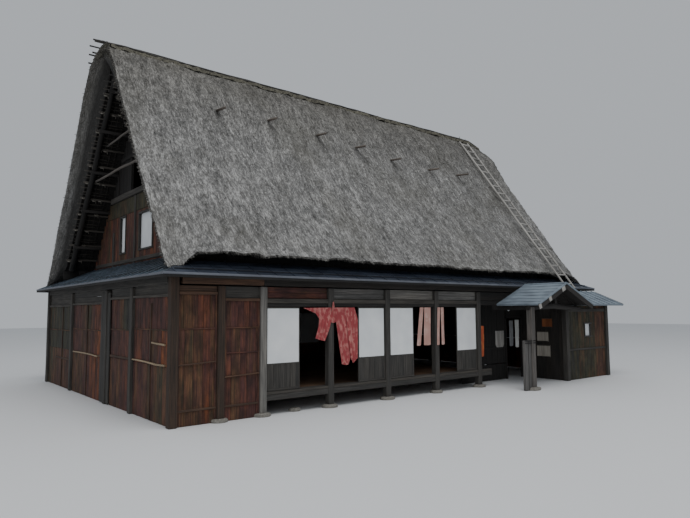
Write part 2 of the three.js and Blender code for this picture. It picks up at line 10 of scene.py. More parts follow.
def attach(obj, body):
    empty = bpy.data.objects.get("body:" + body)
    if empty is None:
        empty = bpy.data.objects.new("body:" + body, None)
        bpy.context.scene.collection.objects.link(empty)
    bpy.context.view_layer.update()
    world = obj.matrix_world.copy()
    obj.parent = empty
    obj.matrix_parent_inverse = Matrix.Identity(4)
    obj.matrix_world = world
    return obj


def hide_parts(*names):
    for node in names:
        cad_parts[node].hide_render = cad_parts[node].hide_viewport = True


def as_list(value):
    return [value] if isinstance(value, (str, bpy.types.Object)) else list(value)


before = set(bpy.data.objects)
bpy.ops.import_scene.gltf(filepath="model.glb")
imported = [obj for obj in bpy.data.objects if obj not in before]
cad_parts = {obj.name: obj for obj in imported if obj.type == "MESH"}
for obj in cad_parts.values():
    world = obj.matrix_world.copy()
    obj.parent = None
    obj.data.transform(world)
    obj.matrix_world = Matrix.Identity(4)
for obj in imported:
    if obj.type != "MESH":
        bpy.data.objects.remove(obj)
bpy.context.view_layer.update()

# Wall lines stand at x = 0, x = LENGTH, y = 0 and y = WIDTH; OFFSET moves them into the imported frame
LENGTH, WIDTH = 15.0, 10.0
OFFSET = Vector((-7.5, -4.28, 0.0))
MIDDLE = WIDTH / 2
ACROSS, INWARD, UP = (1, 0, 0), (0, 1, 0), (0, 0, 1)

# Posts, and boards that end just over the ground with a narrow joint between them
POST, CORNER_POST, POST_TOP, CORNER_TOP = 0.16, 0.17, 2.76, 2.99
GROUND, JOINT = 0.003, 0.004
FRONT_POSTS = (2.0, 3.818, 5.636, 7.454, 9.272)
GABLE_POSTS = (2.2, 4.0, 7.2)
BACK_POSTS = (1.818, 3.636, 5.454, 7.272, 9.09, 10.908, 12.726)
BACK_WINDOWS = ((1.98, 3.474), (3.798, 5.292), (7.434, 8.928), (9.252, 10.746))
PANELS = {"panel_b": 2.086, "panel_c": 4.68, "panel_d": 5.722, "panel_e": 8.316}

# Section of the front slope as (y, z): its surface, and its underside; FOOT is the share of the slope over
# which the thatch thins out at the eave; DROOP tells how far the eave hangs along the house
OUTER_SLOPE = ((-0.05, 3.45), (0.12, 3.56), (0.87, 4.47), (1.88, 5.76), (2.86, 7.25), (3.61, 8.43),
               (4.15, 9.08), (5.0, 9.28))
INNER_LOW, INNER_MID, INNER_TOP = (0.45, 3.46), (1.0, 3.62), (5.0, 8.9)
FOOT = 0.06
SLOPE_OUT = Vector((0, -0.81, 0.58))
DROOP_X = (-0.15, 0.0, 0.16, 0.3, 0.47, 0.75, 14.3, 14.7, 15.05)
DROOP_Z = (0.36, 0.31, 0.29, 0.15, 0.03, 0.0, 0.0, 0.08, 0.30)
NEAR, FAR = -0.15, 15.05
END_SAG, SAG_START = 0.2, 14.3
RAFTERS_X = (0.32, 1.25, 3.75, 6.25, 8.75, 11.25, 13.75, 14.68)
PINS = ((2.41, 3.06, 7.57), (4.03, 3.10, 7.63), (5.70, 3.01, 7.48), (7.17, 2.92, 7.34), (8.57, 2.78, 7.13),
        (10.35, 2.74, 7.06), (11.92, 2.76, 7.10))

# Pent roofs and porch roof
PENT_PITCH, PENT_SEAMS = 0.44, 0.455
PORCH_RIDGE, PORCH_TOP, PORCH_HALF, PORCH_DROP = 11.1, 2.99, 1.43, 0.6
PORCH_POST, PORCH_LINE, ROOF_LINE = 9.87, -1.4, -0.396
rng = random.Random(7)


# Smooth noise between -1 and 1 at a place
def wander(x, y, z):
    return noise.noise(Vector((x, y, z)))


def placed(name, data):
    thing = bpy.data.objects.new(name, data)
    bpy.context.scene.collection.objects.link(thing)
    return thing


# Camera at the photograph's viewing angle
CAMERA_TURNS = (38.955, 5.068, -0.335)
CAMERA_PLACE = Vector((-4.577, -10.977, 2.221))
FOCAL_PIXELS, PHOTO_WIDTH, SENSOR = 584.57, 690, 36.0


def make_camera():
    yaw, pitch, roll = (math.radians(angle) for angle in CAMERA_TURNS)
    forward = Vector((math.sin(yaw) * math.cos(pitch), math.cos(yaw) * math.cos(pitch), math.sin(pitch)))
    right = Vector((math.cos(yaw), -math.sin(yaw), 0.0))
    up = right.cross(forward)
    turned_right = right * math.cos(roll) + up * math.sin(roll)
    turned_up = up * math.cos(roll) - right * math.sin(roll)
    data = bpy.data.cameras.new("camera")
    data.sensor_width = SENSOR
    data.lens = FOCAL_PIXELS / PHOTO_WIDTH * SENSOR
    data.clip_end = 300
    camera = placed("camera", data)
    turn = Matrix((turned_right, turned_up, -forward)).transposed().to_4x4()
    camera.matrix_world = Matrix.Translation(CAMERA_PLACE + OFFSET) @ turn
    bpy.context.scene.camera = camera


# Colour from sRGB hex to linear
def rgb(code):
    values = [int(code[i:i + 2], 16) / 255 for i in (1, 3, 5)]
    return tuple(v / 12.92 if v <= 0.04045 else ((v + 0.055) / 1.055) ** 2.4 for v in values) + (1.0,)


# Node trees for the procedural materials
class Shade:
    def __init__(self, name, roughness=0.85, metallic=0.0):
        self.mat = bpy.data.materials.new(name)
        self.mat.use_nodes = True
        self.tree = self.mat.node_tree
        self.bsdf = self.tree.nodes["Principled BSDF"]
        self.bsdf.inputs["Roughness"].default_value = roughness
        self.bsdf.inputs["Metallic"].default_value = metallic

    def feed(self, socket, value):
        if isinstance(value, bpy.types.NodeSocket):
            self.tree.links.new(value, socket)
        else:
            socket.default_value = rgb(value) if isinstance(value, str) else value

    def add(self, kind, **sockets):
        node = self.tree.nodes.new(kind)
        for key, value in sockets.items():
            self.feed(node.inputs[key.replace("_", " ")], value)
        return node

    def coords(self):
        return self.add("ShaderNodeTexCoord").outputs["Object"]

    def attribute(self, name, output="Vector"):
        node = self.add("ShaderNodeAttribute")
        node.attribute_name = name
        return node.outputs[output]

    def stretch(self, vector, scale):
        return self.add("ShaderNodeMapping", Vector=vector, Scale=scale).outputs["Vector"]

    def noise(self, vector, scale, detail, roughness):
        return self.add("ShaderNodeTexNoise", Vector=vector, Scale=scale, Detail=detail,
                        Roughness=roughness).outputs["Fac"]

    def ramp(self, factor, stops):
        stops = list(stops)
        node = self.add("ShaderNodeValToRGB", Fac=factor)
        elements = node.color_ramp.elements
        while len(elements) < len(stops):
            elements.new(0.5)
        for element, (place, code) in zip(elements, stops):
            element.position = place
            element.color = rgb(code)
        return node.outputs["Color"]

    def streaks(self, vector, scale, detail=4, roughness=0.6):
        return self.noise(self.stretch(vector, scale), 1.0, detail, roughness)

    def range(self, value, low, high, to_low=0.0, to_high=1.0):
        return self.add("ShaderNodeMapRange", Value=value, From_Min=low, From_Max=high,
                        To_Min=to_low, To_Max=to_high).outputs["Result"]

    def math(self, operation, a, b):
        node = self.tree.nodes.new("ShaderNodeMath")
        node.operation = operation
        self.feed(node.inputs[0], a)
        self.feed(node.inputs[1], b)
        return node.outputs["Value"]

    def mix(self, factor, a, b, blend="MIX"):
        node = self.tree.nodes.new("ShaderNodeMix")
        node.data_type = "RGBA"
        node.blend_type = blend
        for index, value in ((0, factor), (6, a), (7, b)):
            self.feed(node.inputs[index], value)
        return node.outputs[2]

    def stained(self, color, stain, share):
        grey = self.add("ShaderNodeCombineColor", Red=stain, Green=stain, Blue=stain).outputs["Color"]
        return self.mix(share, color, grey, "MULTIPLY")

    def finish(self, color, height, strength, distance, roughness=None):
        self.feed(self.bsdf.inputs["Base Color"], color)
        if roughness is not None:
            self.feed(self.bsdf.inputs["Roughness"], roughness)
        bump = self.add("ShaderNodeBump", Height=height, Strength=strength, Distance=distance)
        self.feed(self.bsdf.inputs["Normal"], bump.outputs["Normal"])
        return self.mat


# Weathered timber: matt, long fibres and darker blotches; the tint goes from the first pair of colours
# to the second
def wood(name, dark, light, dark_two, light_two, roughness=0.85, bump=0.5):
    shade = Shade(name, roughness)
    grain, tint = shade.attribute("grain"), shade.attribute("tint", "Fac")
    fibre = shade.streaks(grain, (55, 55, 1.6), 6, 0.65)
    blotch = shade.streaks(grain, (5, 5, 0.9))
    first = shade.ramp(fibre, ((0.30, dark), (0.68, light)))
    second = shade.ramp(fibre, ((0.30, dark_two), (0.68, light_two)))
    blend = shade.range(shade.math("ADD", tint, shade.math("MULTIPLY", blotch, 0.8)), 0.55, 1.25)
    color = shade.stained(shade.mix(blend, first, second), shade.range(blotch, 0.35, 0.7, 0.55, 1.0), 0.75)
    return shade.finish(color, fibre, bump, 0.004)


# Weathered cedar boards: matt, fibrous and smeared; the tint picks grey, olive, brown, purple, red or orange
def boards_material(name):
    shade = Shade(name)
    grain, tint = shade.attribute("grain"), shade.attribute("tint", "Fac")
    fibre = shade.streaks(grain, (60, 60, 1.6), 6, 0.65)
    blotch = shade.streaks(grain, (7, 7, 1.1))
    smear = shade.streaks(grain, (3.5, 3.5, 2.2))
    hue = shade.math("ADD", tint, shade.range(blotch, 0.3, 0.7, -0.16, 0.16))
    stops = (0.0, 0.2, 0.4, 0.6, 0.8, 1.0)
    deep = shade.ramp(hue, zip(stops, ("#1a1a17", "#1f1e13", "#25180f", "#271413", "#34190f", "#54290e")))
    pale = shade.ramp(hue, zip(stops, ("#403e39", "#48452f", "#704c32", "#5a3531", "#774530", "#a05a2b")))
    color = shade.mix(shade.range(fibre, 0.32, 0.66), deep, pale)
    color = shade.stained(color, shade.range(smear, 0.38, 0.62, 0.34, 1.08), 0.85)
    return shade.finish(color, fibre, 0.5, 0.004)


# Cut reed: dull, in short light and dark strokes drawn coarser than the real reed ends, which are too fine
# to show; tufts, grey weather patches, darker toward the ridge
def thatch_material(name, dark, mid, light):
    shade = Shade(name, 0.95)
    place, lay = shade.coords(), shade.attribute("grain")
    fine = shade.streaks(lay, (64, 13, 64), 5, 0.7)
    tuft = shade.streaks(lay, (21, 4.0, 21), 5, 0.7)
    clump = shade.streaks(lay, (4.0, 1.4, 4.0))
    patch = shade.noise(place, 0.55, 4, 0.6)
    mixed = shade.math("ADD", shade.math("MULTIPLY", fine, 0.44), shade.math("MULTIPLY", tuft, 0.38))
    mixed = shade.math("ADD", mixed, shade.math("MULTIPLY", clump, 0.18))
    color = shade.ramp(mixed, ((0.39, dark), (0.50, mid), (0.60, light)))
    color = shade.mix(shade.range(patch, 0.45, 0.72, 0.0, 0.35), color, "#5f5c52")
    height = shade.add("ShaderNodeSeparateXYZ", Vector=place).outputs["Z"]
    color = shade.mix(shade.range(height, 6.6, 9.2, 0.0, 0.85), color, "#bdb9b1", "MULTIPLY")
    # The tint darkens toward near black; the thatch slab uses it for the streaks below the pins and for
    # painted shade on its eave, verge and under faces
    color = shade.mix(shade.attribute("tint", "Fac"), color, "#1a1816")
    return shade.finish(color, mixed, 1.0, 0.04)


# Painted sheet metal: smooth with a soft sheen that varies, dull patches and a little rust
def metal_sheet(name, dark, light, smooth=0.42, metallic=0.35):
    shade = Shade(name, 0.5, metallic)
    place = shade.coords()
    dull = shade.noise(shade.stretch(place, (1.2, 1.2, 4)), 1.5, 5, 0.6)
    fine = shade.noise(place, 30, 4, 0.6)
    color = shade.ramp(dull, ((0.3, dark), (0.7, light)))
    color = shade.mix(shade.range(fine, 0.62, 0.75, 0, 0.35), color, "#4c443f")
    rough = shade.range(dull, 0.3, 0.7, smooth, smooth + 0.2)
    return shade.finish(color, fine, 0.1, 0.002, rough)


# Washi paper: matt and pale, slightly clouded, with fine fibres in relief
def paper_material():
    shade = Shade("screen_paper", 0.9)
    place = shade.coords()
    color = shade.ramp(shade.noise(place, 2.0, 3, 0.5), ((0.3, "#d3d6d8"), (0.7, "#e2e4e4")))
    return shade.finish(color, shade.noise(place, 120, 4, 0.6), 0.15, 0.0008)


# One grain for stone (grit) and for straw rope (twist): matt, two tones and the same pattern in relief
def rough_material(name, scale, detail, roughness, dark, light, distance):
    shade = Shade(name, 0.9)
    grit = shade.noise(shade.coords(), scale, detail, roughness)
    return shade.finish(shade.ramp(grit, ((0.35, dark), (0.65, light))), grit, 0.6, distance)


# Cotton: matt, a weave of about 1.6 mm in relief, patches of painted shade, and a print drawn as irregular
# pale patches
def cloth_material(name, ground, print_color, shade_color, cell=9.0, low=0.30):
    shade = Shade(name, 0.9)
    place = shade.coords()
    weave = shade.noise(place, 600, 2, 0.5)
    cells = shade.add("ShaderNodeTexVoronoi", Vector=place, Scale=cell)
    motif = shade.range(cells.outputs["Distance"], low, low + 0.06)
    swirl = shade.streaks(place, (13, 13, 5.5), 3, 0.5)
    shape = shade.math("MULTIPLY", motif, shade.range(swirl, 0.46, 0.60, 0, 0.6))
    color = shade.mix(shape, ground, print_color)
    # Patches mixed toward the shade colour: painted shade
    weight = shade.noise(place, 3, 3, 0.5)
    color = shade.mix(shade.range(weight, 0.4, 0.8, 0, 0.5), color, shade_color)
    return shade.finish(color, weave, 0.3, 0.0008)


# Board after board along a stretch: the middle and the width of each
def spread(start, stop, low, high, least=0.05):
    while start < stop - 0.01:
        w = min(rng.uniform(low, high), stop - start)
        w = stop - start if stop - start - w < least else w
        yield start + w / 2, w
        start += w


# Mesh data gathered member by member, with a grain vector and a tint on each point
class Build:
    def __init__(self, plane=None):
        self.plane = plane
        self.points, self.faces, self.slots, self.grain, self.tint = [], [], [], [], []

    def put(self, points, faces, slot, grain, tint):
        base = len(self.points)
        shift = Vector((rng.uniform(0, 9), rng.uniform(0, 9), rng.uniform(0, 9)))
        self.points.extend(tuple(p) for p in points)
        self.grain.extend(tuple(Vector(g) + shift) for g in grain)
        self.tint.extend([tint] * len(points))
        self.faces.extend(tuple(base + i for i in face) for face in faces)
        self.slots.extend([slot] * len(faces))

    # Closed tube over rings of equal count
    def tube(self, points, sides, grain, slot, tint):
        last = len(points) - sides
        faces = [tuple(reversed(range(sides)))]
        for r in range(0, last, sides):
            for k in range(sides):
                m = (k + 1) % sides
                faces.append((r + k, r + m, r + sides + m, r + sides + k))
        faces.append(tuple(range(last, last + sides)))
        self.put(points, faces, slot, grain, tint)

    # Bevelled bar from one point to another; width lies along side
    def bar(self, start, end, width, depth, side=ACROSS, slot=0, tint=0.5, bevel=0.006, warp=0.0):
        start, end = Vector(start), Vector(end)
        along = (end - start).normalized()
        across = Vector(side) - along * along.dot(Vector(side))
        across.normalize()
        out = along.cross(across)
        length = (end - start).length
        bevel = min(bevel, width * 0.3, depth * 0.3, length * 0.3)
        cuts = 1 if warp == 0 else max(2, int(length / 0.4))
        rings = [(0.0, -bevel), (bevel, 0.0)] + [(length * i / cuts, 0.0) for i in range(1, cuts)]
        rings += [(length - bevel, 0.0), (length, -bevel)]
        points, grain = [], []
        seed = rng.uniform(0, 50)
        for s, shrink in rings:
            sway = warp * wander(seed, s * 0.8, 0.0)
            lift = warp * wander(seed, s * 0.8, 7.0)
            w, d, b = width / 2 + shrink, depth / 2 + shrink, bevel + shrink * 0.3
            right = [(w - b, -d), (w, -d + b), (w, d - b), (w - b, d)]
            for u, v in right + [(-u, v) for u, v in reversed(right)]:
                points.append(start + along * s + across * (u + sway) + out * (v + lift))
                grain.append((u, v, s))
        self.tube(points, 8, grain, slot, tint)

    # Round pole with a slight taper and bend
    def log(self, start, end, radius, tip, slot=0, tint=0.5, sides=9, bend=0.01, step=0.5):
        start, end = Vector(start), Vector(end)
        along = (end - start).normalized()
        across = along.orthogonal().normalized()
        out = along.cross(across)
        length = (end - start).length
        count = max(2, int(length / step) + 1)
        seed = rng.uniform(0, 50)
        points, grain = [], []
        for i in range(count + 1):
            t = i / count
            r = radius + (tip - radius) * t
            drift = across * bend * wander(seed, t * length, 0) * 2
            drift += out * bend * wander(seed, t * length, 5) * 2
            for k in range(sides):
                a = 2 * math.pi * k / sides
                wobble = r * (1 + 0.08 * wander(seed + k, t * length * 2, 9))
                turn = across * wobble * math.cos(a) + out * wobble * math.sin(a)
                points.append(start + along * length * t + drift + turn)
                grain.append((r * math.cos(a), r * math.sin(a), length * t))
        self.tube(points, sides, grain, slot, tint)

    # An upright and a level bar on the plane of the piece
    def stud(self, u, z0, z1, width, out, depth, slot=1, tint=0.3, bevel=0.004, warp=0.0):
        at = self.plane.at
        self.bar(at(u, z0, out), at(u, z1, out), width, depth, self.plane.u, slot, tint, bevel, warp)

    def rail(self, u0, u1, z, height, out, depth, slot=1, tint=0.3, bevel=0.006, warp=0.004):
        at = self.plane.at
        self.bar(at(u0, z, out), at(u1, z, out), height, depth, UP, slot, tint, bevel, warp)

    def post(self, x, y, z1, size=POST, slot=1, tint=None):
        tint = rng.uniform(0.2, 0.7) if tint is None else tint
        self.bar((x, y, 0), (x, y, z1), size, size, ACROSS, slot, tint, 0.012, 0.006)

    # Upright boards of uneven width; a tint of three numbers or more runs across the bay
    def boards(self, u0, u1, z0, z1, tint, out=0.0, slot=0, width=(0.11, 0.19)):
        for u, w in spread(u0, u1, *width):
            level = out + rng.uniform(-0.003, 0.003)
            if len(tint) == 2:
                tone = rng.uniform(*tint)
            else:
                tone = np.interp((u - u0) / (u1 - u0), np.linspace(0, 1, len(tint)), tint)
                tone = rng.gauss(float(tone), 0.05)
            top = self.plane.at(u, z1, level + rng.uniform(-0.002, 0.002))
            self.bar(self.plane.at(u, z0, level), top, w - JOINT, 0.022, self.plane.u, slot, tone, 0.003)

    # Level boards stacked up
    def levels(self, u0, u1, z0, z1, tint, width, slot=1, out=0.0):
        count = max(1, round((z1 - z0) / width))
        step = (z1 - z0) / count
        for i in range(count):
            z = z0 + step * (i + 0.5)
            ends = [self.plane.at(u, z, out + rng.uniform(-0.003, 0.003)) for u in (u0, u1)]
            self.bar(*ends, step - JOINT, 0.024, UP, slot, rng.uniform(*tint), 0.003)

    # Grid of points joined into quads; rows is a list of rows
    def grid(self, rows, slot=0, tint=0.5, grain=None):
        n = len(rows[0])
        faces = [(r * n + c, r * n + c + 1, (r + 1) * n + c + 1, (r + 1) * n + c)
                 for r in range(len(rows) - 1) for c in range(n - 1)]
        flat = [p for row in rows for p in row]
        self.put(flat, faces, slot, grain or flat, tint)

    # The finished piece; node is the solid that it replaces
    def make(self, name, materials, node=None, body="house", smooth=False, thickness=0.0):
        mesh = bpy.data.meshes.new(name)
        mesh.from_pydata([Vector(p) + OFFSET for p in self.points], [], self.faces)
        for kind, key, field, values in (("FLOAT_VECTOR", "grain", "vector", self.grain),
                                         ("FLOAT", "tint", "value", self.tint)):
            layer = mesh.attributes.new(key, kind, "POINT")
            layer.data.foreach_set(field, np.asarray(values, dtype=np.float32).ravel())
        for material in materials:
            mesh.materials.append(material)
        mesh.polygons.foreach_set("material_index", self.slots)
        mesh.polygons.foreach_set("use_smooth", [smooth] * len(self.faces))
        mesh.update()
        piece = placed(name, mesh)
        if thickness:
            solid = piece.modifiers.new("thickness", "SOLIDIFY")
            solid.thickness = thickness
            solid.offset = 0
            shaped = piece.evaluated_get(bpy.context.evaluated_depsgraph_get())
            piece.data = bpy.data.meshes.new_from_object(shaped)
            piece.data.name = name
            piece.modifiers.clear()
        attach(piece, body)
        if node:
            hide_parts(node)
        return piece


# A vertical wall plane: U runs along it, N points out of it
class Plane:
    def __init__(self, origin, along, outward):
        self.origin, self.u, self.n = Vector(origin), Vector(along), Vector(outward)

    def at(self, u, z, out=0.0):
        return self.origin + self.u * u + self.n * out + Vector((0, 0, z))


# A plane that faces the front, at depth y
def facing(y, x=0.0):
    return Plane((x, y, 0), ACROSS, (0, -1, 0))


FRONT = facing(0)
LEFT = Plane((0, 0, 0), INWARD, (-1, 0, 0))
RIGHT = Plane((LENGTH, 0, 0), INWARD, (1, 0, 0))
BACK = Plane((0, WIDTH, 0), ACROSS, (0, 1, 0))

make_camera()
RED = boards_material("cedar_boards")
GREY = wood("timber_grey", "#353433", "#716f6c", "#3d3833", "#7a6f66")
SILVER = wood("timber_silver_grey", "#454441", "#878581", "#4c4842", "#8e887f")
SLATE = wood("timber_dark_grey", "#1e1d1b", "#4b4946", "#272421", "#5a554e")
BROWN = wood("timber_brown", "#1d1712", "#4c3a2d", "#2a1e18", "#6e503c")
# Dark smoked timber, also used as painted shade on the porch logs under the porch roof
DARK = wood("timber_smoked_and_shaded", "#141312", "#2f2c2a", "#191614", "#3a342f")
# Near-black timber: soot on the roof timbers, and painted shade on timber deep under the roofs, such as the
# porch beams
SOOT_AND_SHADE = wood("timber_soot_and_shade", "#0d0c0c", "#23211f", "#110f0e", "#2b2724")
PLANK = wood("floor_planks", "#33241a", "#6a503a", "#3f2c1f", "#7a5c44", 0.7, 0.3)
BAMBOO = wood("bamboo_pole", "#6e5f4a", "#a08d6f", "#7c6b54", "#b29d7f", 0.6, 0.2)
GREY_POLE = wood("pole_grey", "#77746f", "#a9a6a1", "#8b8883", "#bfbcb6", 0.75, 0.2)
THATCH = thatch_material("cut_reed", "#2c2c2a", "#6f6e6c", "#b0afac")
THATCH_LOOSE = thatch_material("loose_reed", "#35332f", "#75736f", "#b0ada8")
MOSSY_REED = thatch_material("mossy_reed", "#32312b", "#6d6b60", "#a5a394")
METAL = metal_sheet("roof_sheet_blue_grey", "#6a747e", "#8c99a3")
METAL_EDGE = metal_sheet("roof_edge_grey", "#50535c", "#6d7179", 0.5, 0.2)
# Front pent sheet, darkened with painted shade from the thatch eave over it
METAL_SHADED = metal_sheet("roof_sheet_shaded", "#272d39", "#3d4655", 0.35, 0.6)
# Pent sheets at the back and the ends, darker than the porch sheet: painted shade from the thatch eave over
# them
METAL_EAVE_SHADE = metal_sheet("roof_sheet_eave_shade", "#444e58", "#667481", 0.3, 0.75)
PAPER = paper_material()
NOTICE = wood("notice_board_pale", "#8d877e", "#bab3a8", "#9f978c", "#c9c2b6", 0.9, 0.2)
STONE = rough_material("foundation_stone", 35, 6, 0.7, "#55524d", "#8b877f", 0.01)
ROPE = rough_material("straw_rope", 90, 3, 0.6, "#5f5b54", "#98938a", 0.004)
RED_CLOTH = cloth_material("cotton_red_print", "#963d40", "#c68c82", "#7c3035")
PINK_CLOTH = cloth_material("cotton_pale_pink", "#b58f84", "#c9ada2", "#94655c")
WHITE_CLOTH = cloth_material("cotton_white", "#cfcfcb", "#dededa", "#a3a3a0")
ORANGE_CLOTH = cloth_material("cotton_orange", "#a54c2b", "#c58742", "#963a22", 5.0, 0.4)
GREY_CLOTH = cloth_material("cotton_grey", "#77787a", "#8a8b8c", "#5c5d60")
ORANGE_WOOD = wood("board_orange", "#6b3a1e", "#93552f", "#7a4526", "#a5663c", 0.8, 0.2)


# Boarded end of the front
def wall_front_left():
    b = Build(FRONT)
    b.post(0, 0, CORNER_TOP, CORNER_POST, 2, 0.0)
    b.post(1.0, 0, 2.75, POST, 2, 0.1)
    bays = ((0.09, 0.915, 2.56, 1.2, (0.42, 0.36, 0.8, 0.42), (0.4, 0.45, 0.38, 0.82, 0.4), 2),
            (1.085, 1.915, 2.44, 0.9, (0.62, 0.56, 0.68, 0.6), (0.6, 0.55, 0.64, 0.6), 1))
    for u0, u1, top, pole, upper, lower, band in bays:
        b.boards(u0, u1, 1.885, top, upper)
        b.boards(u0, u1, GROUND, 1.88, lower, 0.003, width=(0.14, 0.24))
        b.levels(u0, u1, top + 0.05, 2.745, (0.3, 0.6), 0.24, band)
        b.rail(u0, u1, top + 0.03, 0.06, 0.03, 0.05, 2, 0.8)
        b.rail(u0, u1, 1.883, 0.03, 0.018, 0.03, 0, 0.55)
        b.rail(u0, u1, 0.30, 0.045, 0.02, 0.03, 2, 0.4)
        low, high = FRONT.at(u0 + 0.01, pole - 0.02, 0.036), FRONT.at(u1 - 0.01, pole + 0.02, 0.036)
        b.log(low, high, 0.017, 0.014, 2, 1.0, 8)
        for u in (u0 + 0.02, u1 - 0.02):
            b.stud(u, 0.02, top, 0.04, 0.02, 0.03, 0, 0.5)
    b.rail(1.085, 1.915, 1.37, 0.03, 0.018, 0.03, 0, 0.6)
    b.make("wall_front_left_boards", (RED, SLATE, BROWN), "wall_front_left")


# Gable ground floor walls: near one from the photo, far one alike, with a stretch added behind the annex
def wall_gable(plane, side, annex):
    b = Build(plane)
    for y in GABLE_POSTS:
        b.post(plane.origin.x, y, POST_TOP, POST, 1, 0.4)
    if annex:
        b.post(plane.origin.x, 0, CORNER_TOP, CORNER_POST, 3, 0.3)
    bays = ((0.09, 2.115, 2.53,
             (0.85, 0.55, 0.65, 0.55), (0.95, 0.9, 0.35, 0.6, 0.92, 0.65), (0.45, 0.35, 0.5, 0.55)),
            (2.285, 3.72, 2.53,
             (0.05, 0.1, 0.6, 0.6), (0.65, 0.7, 0.6, 0.6), (0.65, 0.7, 0.35, 0.5)),
            (4.28, 7.115, 2.43,
             (0.85, 0.75, 0.2, 0.6, 0.62), (0.9, 0.95, 0.4, 0.5, 0.65, 0.5), (0.8, 0.9, 0.45, 0.4)),
            (7.285, 9.91, 2.40,
             (0.05, 0.1, 0.15, 0.2), (0.1, 0.12, 0.2), (0.45, 0.5, 0.2)))
    for u0, u1, top, upper, lower, base in bays:
        joint = 1.88 - 0.011 * (u0 + u1)
        b.boards(u0, u1, joint + 0.005, top, upper)
        b.boards(u0, u1, 1.14, joint, lower, 0.002, width=(0.12, 0.22))
        b.boards(u0, u1, GROUND, 1.136, base, 0.003, width=(0.12, 0.22))
        b.levels(u0, u1, top + 0.04, 2.79, (0.1, 0.6), 0.2)
        b.rail(u0, u1, top + 0.02, 0.055, 0.035, 0.05, 1, 1.0)
        b.rail(u0, u1, joint, 0.03, 0.018, 0.02, 0, 0.4)
    for u in (3.79, 3.93, 4.07, 4.21, 4.35):
        b.stud(u, 0.02, 2.7, 0.135, 0.04, 0.03, 1, rng.uniform(0, 0.3))
    for u0, u1, z in ((2.3, 3.7, 1.18), (4.45, 4.7, 1.12), (7.3, 9.0, 0.86)):
        b.rail(u0, u1, z, 0.05, 0.022, 0.03, 3, 0.5)
    for u0, u1, z in ((0.28, 2.17, 1.175), (0.3, 1.0, 1.58), (4.69, 6.96, 1.12)):
        b.log(plane.at(u0, z - 0.01, 0.038), plane.at(u1, z + 0.01, 0.038), 0.022, 0.018, 2, 0.8, 8)
    for u in (1.1, 2.3, 5.7, 8.3):
        b.stud(u, 0.02, 2.4, 0.045, 0.022, 0.03, 3)
    b.rail(0.15, 9.85, 2.89, 0.22, 0, 0.15, bevel=0.01)
    if annex:
        b.boards(-0.81, -0.1, GROUND, 2.56, (0.0, 0.3))
    b.make(f"wall_gable_{side}_boards", (RED, SLATE, BAMBOO, BROWN), f"wall_gable_{side}")


# Back wall with its windows closed by paper behind slats
def wall_back():
    b = Build(BACK)
    for x in (0, LENGTH):
        b.post(x, WIDTH, CORNER_TOP, CORNER_POST, 1, 0.5)
    for x in BACK_POSTS:
        b.post(x, WIDTH, POST_TOP)
    edges = [0.0, *BACK_POSTS, LENGTH]
    for left, right in zip(edges, edges[1:]):
        u0, u1 = left + 0.085, right - 0.085
        b.boards(u0, u1, GROUND, 0.89, (0.3, 0.8))
        if any(a > left and c < right for a, c in BACK_WINDOWS):
            for u in np.arange(u0 + 0.09, u1, 0.105):
                b.stud(u, 0.88, 2.12, 0.03, 0, 0.03, 1, 0.4, 0.003)
            b.rail(u0, u1, 1.5, 0.03, -0.02, 0.02, 1, 0.4, 0.003, 0)
        else:
            b.boards(u0, u1, 0.89, 2.12, (0.3, 0.8))
        b.boards(u0, u1, 2.12, 2.53, (0.3, 0.8))
        b.levels(u0, u1, 2.6, 2.76, (0.1, 0.4), 0.16)
    for z in (0.86, 2.11, 2.565):
        b.rail(0.09, LENGTH - 0.09, z, 0.07, 0.03, 0.05)
    b.rail(0.15, LENGTH - 0.15, 2.9, 0.22, 0, 0.15, bevel=0.01)
    b.make("wall_back_boards", (RED, SLATE), "wall_back")


# Posts between the open bays, on flat stones
def front_posts():
    for key, x in zip("bcdef", FRONT_POSTS):
        b = Build()
        b.post(x, 0, 2.75, POST, 0, 0.35)
        b.make(f"post_{key}_timber", (SILVER if key == "b" else SLATE,), f"post_{key}")
    b = Build()
    stones = [(x, 0.0, 0.17) for x in FRONT_POSTS]
    stones += [(PORCH_POST, PORCH_LINE, 0.2), (1.0, 0.0, 0.16), (2.9, 0.1, 0.12)]
    for x, y, size in stones:
        rows = []
        for z, r in ((0.0, 1.0), (0.035, 1.04), (0.06, 0.95), (0.075, 0.75), (0.078, 0.0)):
            row = []
            for i in [*range(14), 0]:
                a = 2 * math.pi * i / 14
                w = size * r * (1 + 0.18 * wander(x, y + i, 3.0))
                row.append((x + w * math.cos(a) * 1.15, y + w * math.sin(a), z))
            rows.append(row)
        b.grid(rows)
    b.make("foundation_stones", (STONE,), smooth=True)


